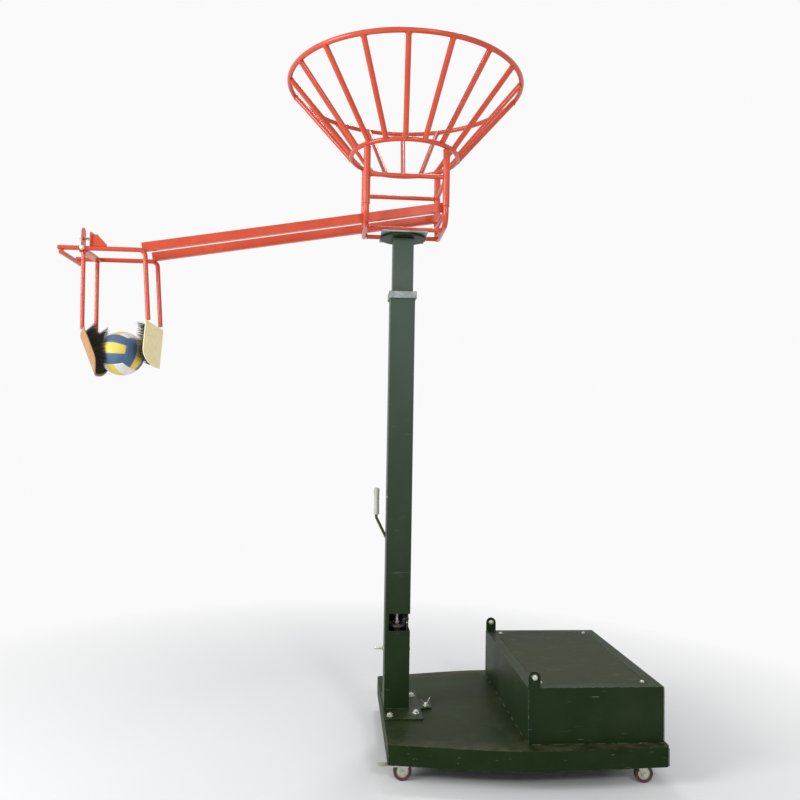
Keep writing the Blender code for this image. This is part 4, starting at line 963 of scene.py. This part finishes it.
def collar_line(centre, radius, axis, count=24):
    """A ring of points round an axis, for the weld round a bar's end."""
    turn = Vector((0, 0, 1)).rotation_difference(Vector(axis).normalized())
    return [Vector(centre) + turn @ Vector((radius * cos(2 * pi * k / count),
                                            radius * sin(2 * pi * k / count), 0))
            for k in range(count + 1)]


cage_joints = []
for side in (-1, 1):
    x = MAST_X + side * CAGE_X
    for y in (-CAGE_Y, CAGE_Y):
        cage_joints.append(collar_line((x, y, POST_LOW - 0.0008), CAGE_R + 0.0015, (0, 0, 1)))
        away = x - side * (POST_R + 0.0006)
        cage_joints.append(collar_line((away, y, TOP_BAR), BAR_R + 0.0004, (1, 0, 0)))
    for y in (-0.085, 0.085):
        low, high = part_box("cage_bottom_bar_near")
        away = x - side * (CAGE_R + 0.0004)
        cage_joints.append(collar_line((away, y, (low.z + high.z) / 2), BAR_R + 0.0002, (1, 0, 0)))
welds("cage_welds", cage_joints, 0.0022, red_enamel, "head", "red", 0.0046)


# ----------------------------------------
# Funnel: a wide rim of bent tube and a small throat hoop, joined by eighteen straight bars that
# are welded under the rim and round the throat.

funnel_tree, funnel_in = grower(
    "wire_funnel", "Rim Radius", "Rim Height", "Rim Tube", "Throat Radius", "Throat Height",
    "Throat Tube", "Rib Radius", "Rib Reach", "Rib Count", "First Rib")


def hoop(radius, height, tube):
    """A bar bent into a level circle."""
    circle = node(
        funnel_tree, "GeometryNodeCurvePrimitiveCircle", {"Resolution": 216, "Radius": radius})
    lift = node(funnel_tree, "ShaderNodeCombineXYZ", {"Z": height})
    raised = node(funnel_tree, "GeometryNodeTransform", {"Geometry": circle, "Translation": lift})
    return swept_bar(funnel_tree, raised, 20, tube, caps=False)


low_end = node(
    funnel_tree, "ShaderNodeCombineXYZ",
    {"X": funnel_in["Throat Radius"], "Z": funnel_in["Throat Height"]})
high_end = node(
    funnel_tree, "ShaderNodeCombineXYZ",
    {"X": funnel_in["Rib Reach"], "Z": funnel_in["Rim Height"]})
straight = node(funnel_tree, "GeometryNodeCurvePrimitiveLine", {"Start": low_end, "End": high_end})
rib = swept_bar(funnel_tree, straight, 18, funnel_in["Rib Radius"])
spots = node(
    funnel_tree, "GeometryNodeMeshLine", {"Count": funnel_in["Rib Count"], "Offset": (0, 0, 0)})
number = node(funnel_tree, "GeometryNodeInputIndex")
share = maths('DIVIDE', 2 * pi, funnel_in["Rib Count"])
angle = maths('MULTIPLY_ADD', number, share, funnel_in["First Rib"])
facing = node(funnel_tree, "ShaderNodeCombineXYZ", {"Z": angle})
ribs = node(
    funnel_tree, "GeometryNodeInstanceOnPoints",
    {"Points": spots, "Instance": rib, "Rotation": facing})
hoops = [hoop(*(funnel_in[f"{which} {size}"] for size in ("Radius", "Height", "Tube")))
         for which in ("Rim", "Throat")]
finish_tree(
    funnel_tree, funnel_in, node(funnel_tree, "GeometryNodeJoinGeometry", {0: [ribs, *hoops]}))

RIM_R, RIM_Z, THROAT_R, THROAT_Z, RIBS = 0.5755, 3.222, 0.265, 2.870, 18
FIRST_RIB = 2 * pi * 0.33 / RIBS
funnel = grown("funnel_basket_wire", funnel_tree, bpy.data.meshes.new("funnel"), {
    "Rim Radius": RIM_R, "Rim Height": RIM_Z, "Rim Tube": 0.0120, "Throat Radius": THROAT_R,
    "Throat Height": THROAT_Z, "Throat Tube": 0.0115, "Rib Radius": 0.013,
    "Rib Reach": RIM_R - 0.001, "Rib Count": RIBS, "First Rib": FIRST_RIB,
    "Finish": red_enamel})
funnel.data.transform(Matrix.Translation((MAST_X, 0, 0)))
place_piece(funnel, "head", "red", "funnel_rim", "funnel_basket")
slope = Vector((RIM_R - THROAT_R, 0, RIM_Z - THROAT_Z)).normalized()
rib_welds = []
for k in range(RIBS):
    spin = Matrix.Rotation(FIRST_RIB + 2 * pi * k / RIBS, 3, 'Z')
    for base, offset in ((Vector((THROAT_R, 0, THROAT_Z)), 0.0125),
                         (Vector((RIM_R, 0, RIM_Z)), -0.0135)):
        centre = spin @ (base + slope * offset) + Vector((MAST_X, 0, 0))
        rib_welds.append(collar_line(centre, 0.0134, spin @ slope, 16))
for side in (-1, 1):
    for y in (-CAGE_Y, CAGE_Y):
        rib_welds.append(collar_line((MAST_X + side * CAGE_X, y, POST_TOP - 0.0004),
                                     POST_R - 0.0006, (0, 0, 1)))
welds("funnel_welds", rib_welds, 0.0022, red_enamel, "head", "red", 0.0046)


# ----------------------------------------
# Rails: two rectangular tubes that slope down from the cage to the holder, closer together than
# the ball is wide, with sheet caps welded into their ends.

for where in ("near", "far"):
    metal_part("chute_rail_" + where, "rail_" + where, red_enamel, "head", "red", 0.0022, 3)
rail_caps = bmesh.new()
for side in (-1, 1):
    for x in (-1.240, 0.203):
        z = RAIL_Z + RAIL_SLOPE * x - 0.0215 * RAIL_STRETCH + 0.0006
        inset = -0.0016 if x > 0 else 0.0016
        flat = bmesh.ops.create_cube(rail_caps, size=1.0)["verts"]
        bmesh.ops.scale(rail_caps, vec=(0.0016, 0.0212, 0.0392), verts=flat)
        bmesh.ops.bevel(
            rail_caps, geom=[e for e in rail_caps.edges if all(v in flat for v in e.verts)],
            offset=0.0004, segments=1, affect='EDGES')
        fresh = [v for v in rail_caps.verts if v.co.length < 0.04]
        place = Matrix.Translation((MAST_X + x + inset * 2, side * 0.0995, z)) \
            @ Matrix.Rotation(-atan2(RAIL_SLOPE, 1), 4, 'Y')
        bmesh.ops.transform(rail_caps, matrix=place, verts=fresh)
place_piece(mesh_piece("rail_end_caps", rail_caps, red_enamel), "head", "red")


# ----------------------------------------
# Holder frame: two side tubes that bend down at the chute's mouth into the rods of the fixed
# cup, tied together by a cross tube at their far ends.

ARM_Y, ARM_Z, ARM_X0, BEND_X, ARM_R = 0.1235, 2.3375, -1.617, -1.222, 0.011
for where, side in (("near", -1), ("far", 1)):
    arm_low, arm_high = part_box("arm_" + where)
    foot_x = arm_high.x - ARM_R
    line = arc_path(
        [(MAST_X + ARM_X0, side * ARM_Y, ARM_Z), (MAST_X + BEND_X, side * ARM_Y, ARM_Z),
         (foot_x, side * ARM_Y, arm_low.z)], 0.030, 12)
    bar_piece("holder_arm_" + where, [(line, ARM_R)], red_enamel, ("head", "red", "arm_" + where))
cross_line = span_of("holder_end_tube", 1)
bar_piece(
    "holder_cross_tube", [(cross_line, ARM_R)], red_enamel, ("head", "red", "holder_end_tube"))
arm_welds = []
for side in (-1, 1):
    for edge in (-1, 1):
        arm_welds.append([(cross_line[0].x + edge * 0.0045 + (0.0004 * k), side * (ARM_Y - 0.010)
                           + side * 0.0022 * k, ARM_Z - ARM_R - 0.0002) for k in range(9)])
welds("holder_cross_welds", arm_welds, 0.0020, red_enamel, "head", "red")


# ----------------------------------------
# Jaw: a pivot tube between the two arms with a cross plate, an upright paddle lever and the two
# rods of the moving cup. It turns on two bolts through the arms.

metal_part("jaw_metal", "jaw_frame", red_enamel, "jaw", "red", 0.0008, 2, 38)
PIVOT_X = MAST_X - 1.505
for where, side in (("near", -1), ("far", 1)):
    source = "jaw_pivot_bolt_" + where
    metal_part("pivot_bolt_" + where, source, zinc, "head", "zinc", 0.0005, 2)
    fasteners(
        "pivot_bolt_head_" + where, [(PIVOT_X, side * (ARM_Y + ARM_R + 0.0003), ARM_Z)], zinc,
        "head", "zinc", 0.0100, 0.0062, (0.0112, 0.0010), (0.003, 0.0006), (0, side, 0), 14 + side)


# ----------------------------------------
# Spring stop: a braced bracket on the near arm, a long guide bolt through bracket and lever with
# its nut, and on it the wire spring that pushes the jaw shut.

metal_part("spring_stop_bracket", "spring_bracket", red_enamel, "head", "red", 0.0008, 2)
BOLT_Y, BOLT_Z = -0.085, 2.391
metal_part("guide_bolt_shank", "guide_bolt", zinc, "head", "zinc", 0.0004, 2)
bracket_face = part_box("spring_bracket")[0].x + 0.0062
fasteners(
    "guide_bolt_nut", [(bracket_face, BOLT_Y, BOLT_Z)], zinc, "head", "zinc", 0.0064, 0.0052,
    (0.0078, 0.0012), (0.0028, 0.0070), (1, 0, 0), 4)
spring_low, spring_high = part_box("jaw_spring")
WIRE_R, COIL_R, COILS, COIL_STEPS = 0.0010, 0.0070, 6, 36
coil = []
start, end = spring_low.x + WIRE_R, spring_high.x - WIRE_R
for k in range((COILS + 2) * COIL_STEPS + 1):
    turn_no = k / COIL_STEPS
    # the first and last turns lie flat, as on a ground end
    share = min(max((turn_no - 1) / COILS, 0.0), 1.0)
    flat_part = min(turn_no, 1.0) + max(turn_no - COILS - 1, 0.0)
    x = start + flat_part * 2.2 * WIRE_R + (end - start - 4.4 * WIRE_R) * share
    coil.append(
        (x, BOLT_Y + COIL_R * cos(2 * pi * turn_no), BOLT_Z + COIL_R * sin(2 * pi * turn_no)))
spring = bar_piece("jaw_coil_spring", [(coil, WIRE_R)], steel, ("head", "steel", "jaw_spring"), 10)
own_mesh(spring)


# ----------------------------------------
# Cups: two moulded tan shells, the moving one bent tighter, with a dipped top edge and round lower
# corners. Each hangs on a pair of rods, tilted so that together they make a pocket.

PAD_H, PAD_T, PAD_DIP, PAD_ROUND = 0.215, 0.005, 0.028, 0.085
CUPS = {
    "fixed": {"x": MAST_X - 1.205, "z": 2.010, "r": 0.210, "half": 0.1325, "tilt": radians(4),
              "side": 1, "body": "head", "bristle": 0.036, "rise": 0.05},
    "jaw": {"x": MAST_X - 1.490, "z": 1.968, "r": 0.165, "half": 0.125, "tilt": radians(22),
            "side": -1, "body": "jaw", "bristle": 0.056, "rise": 0.30}}


def cup_frame(cup):
    """Middle of the chord between a cup's top corners, with +X outward."""
    turn = Matrix.Rotation(cup["tilt"], 4, 'Y')
    if cup["side"] < 0:
        turn = Matrix.Rotation(pi, 4, 'Z') @ turn
    return Matrix.Translation((cup["x"], 0, cup["z"])) @ turn


def cup_point(cup, across, up, inward=0.0, margin=0.0):
    """A point of the cup: across from -1 to 1, up from 0 to 1, this far inside its face."""
    y = (cup["half"] - margin) * across
    part = min(abs(y) / cup["half"], 1.0)
    top = -PAD_DIP * (1 - part ** 2) - margin
    lift = max(0.0, (part - 0.30) / 0.70)
    low = -PAD_H + PAD_ROUND * (1 - sqrt(max(0.0, 1 - lift ** 2))) + margin
    depth = sqrt((cup["r"] - inward) ** 2 - y ** 2) - sqrt(cup["r"] ** 2 - cup["half"] ** 2)
    return Vector((depth, y, low + (top - low) * up))


def cup_sheet(cup, columns, rows, inward=0.0, margin=0.0):
    """A grid of faces on a cup, closer together toward its side edges."""
    bm = bmesh.new()
    grid = [[bm.verts.new(cup_point(cup, sin(pi / 2 * (2 * i / columns - 1) * 0.8)
                                    / sin(pi / 2 * 0.8), j / rows, inward, margin))
             for j in range(rows + 1)] for i in range(columns + 1)]
    for a, b in zip(grid, grid[1:]):
        for j in range(rows):
            bm.faces.new((a[j], b[j], b[j + 1], a[j + 1]))
    return bm


def thickened(piece, thickness):
    """Let a sheet grow this thick toward its back."""
    wall = piece.modifiers.new("wall", 'SOLIDIFY')
    wall.thickness, wall.offset = thickness, -1


def tan_shell(name, face, shade):
    """Moulded fibreglass gelcoat: a warm tan with faint mottling, weave and rubbed patches."""
    finish, place, mottle = mottled(
        name, (face, shade), (38.0, 8.0, 0.6), (0.38, 0.74), (0.38, 0.62))
    laid_over(
        finish, ranged(clouds_at(place, 210.0, 6.0), 0.66, 0.74, 0.0, 0.5), linear(150, 118, 84))
    threads = [
        node(place.id_data, "ShaderNodeTexWave",
             {"Vector": place, "Scale": 150.0, "Distortion": 1.5, "Detail": 2.0},
             bands_direction=way).outputs["Fac"] for way in ('Y', 'Z')]
    weave = relief(maths('MULTIPLY', *threads), 0.12, 0.0004)
    return covered(finish, normal=relief(mottle, 0.25, 0.0012, weave))


# the two cups share one tan gelcoat: the fixed cup's copy is painted lighter as if lit, the moving
# cup's copy darker and browner as painted shade
gelcoats = {
    "fixed": tan_shell("lit_tan_gelcoat", linear(248, 238, 186), linear(241, 222, 166)),
    "jaw": tan_shell("shaded_tan_gelcoat", linear(188, 142, 96), linear(172, 124, 82))}
for name, cup in CUPS.items():
    shell = mesh_piece("cup_shell_" + name, cup_sheet(cup, 44, 26), gelcoats[name], 60)
    thickened(shell, PAD_T)
    rounded(shell, 0.0016, 3, radians(50))
    settled(shell)
    shell.data.transform(cup_frame(cup))
    place_piece(shell, cup["body"], "tan", name + "_pad")


# ----------------------------------------
# Brushes: a black moulded strip lines each cup, set with stiff nylon bristles. They are longest
# at the edges, stand up past the cup's top, and are worn to the ball's shape where it sits.

def black_nylon(name, body, tip, rough):
    """Stiff black bristle nylon: slightly brown, streaked along its length."""
    finish, place = new_finish(name, Specular_IOR_Level=0.35)
    streak = clouds_at(place, 170.0, 4.0)
    return covered(
        finish, two_tone(streak, body, tip), ranged(streak, 0.0, 1.0, rough, rough + 0.3),
        relief(streak, 0.15, 0.0002))


BALL_R, BALL_X, BALL_Z = 0.105, MAST_X - 1.346, 1.860
BRISTLE_GAP, STRIP_IN, STRIP_T = 0.0008, PAD_T + 0.0009, 0.003
bristle_tree, bristle_in = grower("brush_bristles", "Root Radius", "Tip Radius", "Bend", "Seed")
bow = node(bristle_tree, "ShaderNodeCombineXYZ", {"X": bristle_in["Bend"], "Z": 0.55})
strand = node(bristle_tree, "GeometryNodeCurveQuadraticBezier", {
    "Resolution": 4, "Start": (0, 0, 0), "Middle": bow, "End": (0, 0, 1)})
part = node(bristle_tree, "GeometryNodeSplineParameter")
width = ranged(
    part.outputs["Factor"], 0.0, 1.0, bristle_in["Root Radius"], bristle_in["Tip Radius"])
hair = swept_bar(bristle_tree, strand, 4, 1.0, width)
reach = node(bristle_tree, "GeometryNodeInputNamedAttribute", {"Name": "reach"}, data_type='FLOAT')
tall = node(bristle_tree, "ShaderNodeCombineXYZ", {"X": 1.0, "Y": 1.0, "Z": reach})
aim = node(
    bristle_tree, "GeometryNodeInputNamedAttribute", {"Name": "aim"}, data_type='FLOAT_VECTOR')
turn_to = node(bristle_tree, "FunctionNodeAlignRotationToVector", {"Vector": aim}, axis='Z')
twist = chance(0.0, 6.28, bristle_in["Seed"])
about = node(bristle_tree, "FunctionNodeAxisAngleToRotation", {"Axis": (0, 0, 1), "Angle": twist})
turned = node(
    bristle_tree, "FunctionNodeRotateRotation", {0: turn_to, 1: about}, rotation_space='LOCAL')
rows = node(bristle_tree, "GeometryNodeInstanceOnPoints", {
    "Points": bristle_in["Geometry"], "Instance": hair,
    "Rotation": turned, "Scale": tall})
finish_tree(bristle_tree, bristle_in, rows)


def free_reach(root, way, longest):
    """How far a bristle may go before the ball, or the ball's way down, is in its way."""
    length = 0.004
    while length < longest:
        tip = root + way * length
        flat = hypot(tip.x - BALL_X, tip.y)
        gap = flat if tip.z > BALL_Z else (tip - Vector((BALL_X, 0, BALL_Z))).length
        if gap < BALL_R + BRISTLE_GAP + 0.0006:
            break
        length += 0.0008
    return length


bristle_nylon = black_nylon("bristle_nylon", linear(24, 26, 20), linear(52, 52, 38), 0.45)
strip_nylon = black_nylon("strip_nylon", linear(26, 27, 24), linear(40, 40, 36), 0.55)
rng = random.Random(12)
COLUMNS, LINES = 46, 54
for name, cup in CUPS.items():
    frame_of = cup_frame(cup)
    strip = mesh_piece(
        "brush_strip_" + name, cup_sheet(cup, 40, 22, STRIP_IN, 0.010), strip_nylon, 60)
    thickened(strip, STRIP_T)
    settled(strip)
    strip.data.transform(frame_of)
    roots, ways, reaches = [], [], []
    for i in range(COLUMNS):
        for j in range(LINES):
            across = 2 * (i + 0.5 + rng.uniform(-0.35, 0.35)) / COLUMNS - 1
            up = (j + 0.5 + rng.uniform(-0.35, 0.35)) / LINES
            local = cup_point(cup, across, up, STRIP_IN + STRIP_T - 0.0004, 0.012)
            centre = Vector((-sqrt(cup["r"] ** 2 - cup["half"] ** 2), 0, local.z))
            inward = (centre - local).normalized()
            lean = Vector((inward.x, 0.30 * inward.y, 0.08 + cup["rise"] * up))
            lean += Vector([rng.gauss(0, 0.022) for _ in range(3)])
            root = frame_of @ local
            way = (frame_of.to_3x3() @ lean).normalized()
            longest = cup["bristle"] + 0.012 * rng.random() + 0.008 * (up > 0.9)
            length = free_reach(root, way, longest)
            roots.append(root)
            ways.append(way)
            reaches.append(length)
    base = bpy.data.meshes.new("bristle_roots_" + name)
    base.from_pydata(roots, [], [])
    base.attributes.new("reach", 'FLOAT', 'POINT').data.foreach_set("value", reaches)
    base.attributes.new("aim", 'FLOAT_VECTOR', 'POINT').data.foreach_set(
        "vector", [c for way in ways for c in way])
    bristles = grown("brush_bristles_" + name, bristle_tree, base, {
        "Root Radius": 0.00080, "Tip Radius": 0.00035, "Bend": 0.0006, "Seed": 5,
        "Finish": bristle_nylon})
    place_piece(bristles, cup["body"], "bristle", name + "_brush")
    place_piece(strip, cup["body"], "bristle")


# ----------------------------------------
# Ball: eighteen glued leather panels, three strips on each side of a rounded cube, each side's
# strips square to the next. Blue and yellow sides, with white and yellow top and bottom.

def leather(name, face, worn):
    """Soft ball leather: fine pebbled grain, faint scuffs and a little hall dust."""
    finish, place, _ = mottled(
        name, (face, worn), (30.0, 8.0, 0.65), (0.44, 0.78), (0.42, 0.68), Sheen_Weight=0.08)
    pebbles = node(
        place.id_data, "ShaderNodeTexVoronoi",
        {"Vector": place, "Scale": 620.0, "Randomness": 0.9})
    return covered(finish, normal=relief(pebbles, 0.35, 0.0003, invert=True))


ball_blue = leather("ball_leather_blue", linear(68, 98, 134), linear(84, 110, 141))
ball_yellow = leather("ball_leather_yellow", linear(230, 205, 84), linear(220, 190, 104))
ball_white = leather("ball_leather_white", linear(234, 232, 226), linear(214, 208, 196))
# half the steps along a cube's side, a multiple of three for the strips
N, SEAM_DEPTH = 90, 0.0014
bm = bmesh.new()
found = {}


def ball_vertex(cell):
    """The ball's vertex at whole-number places (from -N to N) on the rounded cube."""
    if cell not in found:
        way = Vector([tan(pi / 4 * c / N) for c in cell]).normalized()
        big = [abs(c) == N for c in cell]
        edge = sum(big) > 1
        axis = big.index(True)
        stacked = cell[(axis + 2) % 3]
        gap = min(abs(abs(stacked) - N / 3), abs(abs(stacked) - N),
                  abs(abs(cell[(axis + 1) % 3]) - N)) / 2
        sunk = SEAM_DEPTH if edge or gap == 0 else SEAM_DEPTH * 0.30 / gap ** 2
        found[cell] = bm.verts.new(way * (BALL_R - min(sunk, SEAM_DEPTH)))
    return found[cell]


for axis in range(3):
    for sign in (-1, 1):
        for i in range(-N, N, 2):
            for j in range(-N, N, 2):
                corners = []
                for u, v in ((i, j), (i + 2, j), (i + 2, j + 2), (i, j + 2)):
                    cell = [0, 0, 0]
                    cell[axis], cell[(axis + 1) % 3], cell[(axis + 2) % 3] = sign * N, u, v
                    corners.append(ball_vertex(tuple(cell)))
                face = bm.faces.new(corners)
                middle = abs(j + 1) < N / 3
                face.material_index = 1 if middle else (2 if axis == 2 else 0)
# the ball as it lies: one side's middle and another's, seen from where the camera stands
to_camera = Vector((0.2677, -0.9592, -0.0910))
to_right = Vector((0.9632, 0.2688, 0))
to_top = Vector((0.0245, -0.0877, 0.9959))
side_a = (cos(radians(15)) * (cos(radians(37)) * to_camera - sin(radians(37)) * to_right)
          + sin(radians(15)) * to_top).normalized()
side_b = (cos(radians(53)) * to_camera + sin(radians(53)) * to_right).normalized()
side_b = (side_b - side_a * side_a.dot(side_b)).normalized()
turn = Matrix((side_a, side_b, side_b.cross(side_a))).transposed().to_4x4()
bm.transform(Matrix.Translation((BALL_X, 0, BALL_Z)) @ turn)
bmesh.ops.recalc_face_normals(bm, faces=bm.faces)
ball = mesh_piece("panelled_ball", bm, ball_blue, 80)
ball.data.materials.append(ball_yellow)
ball.data.materials.append(ball_white)
place_piece(ball, "ball", "ball", "volleyball")


# ----------------------------------------
# Last: the scene is brought up to date.

bpy.context.view_layer.update()
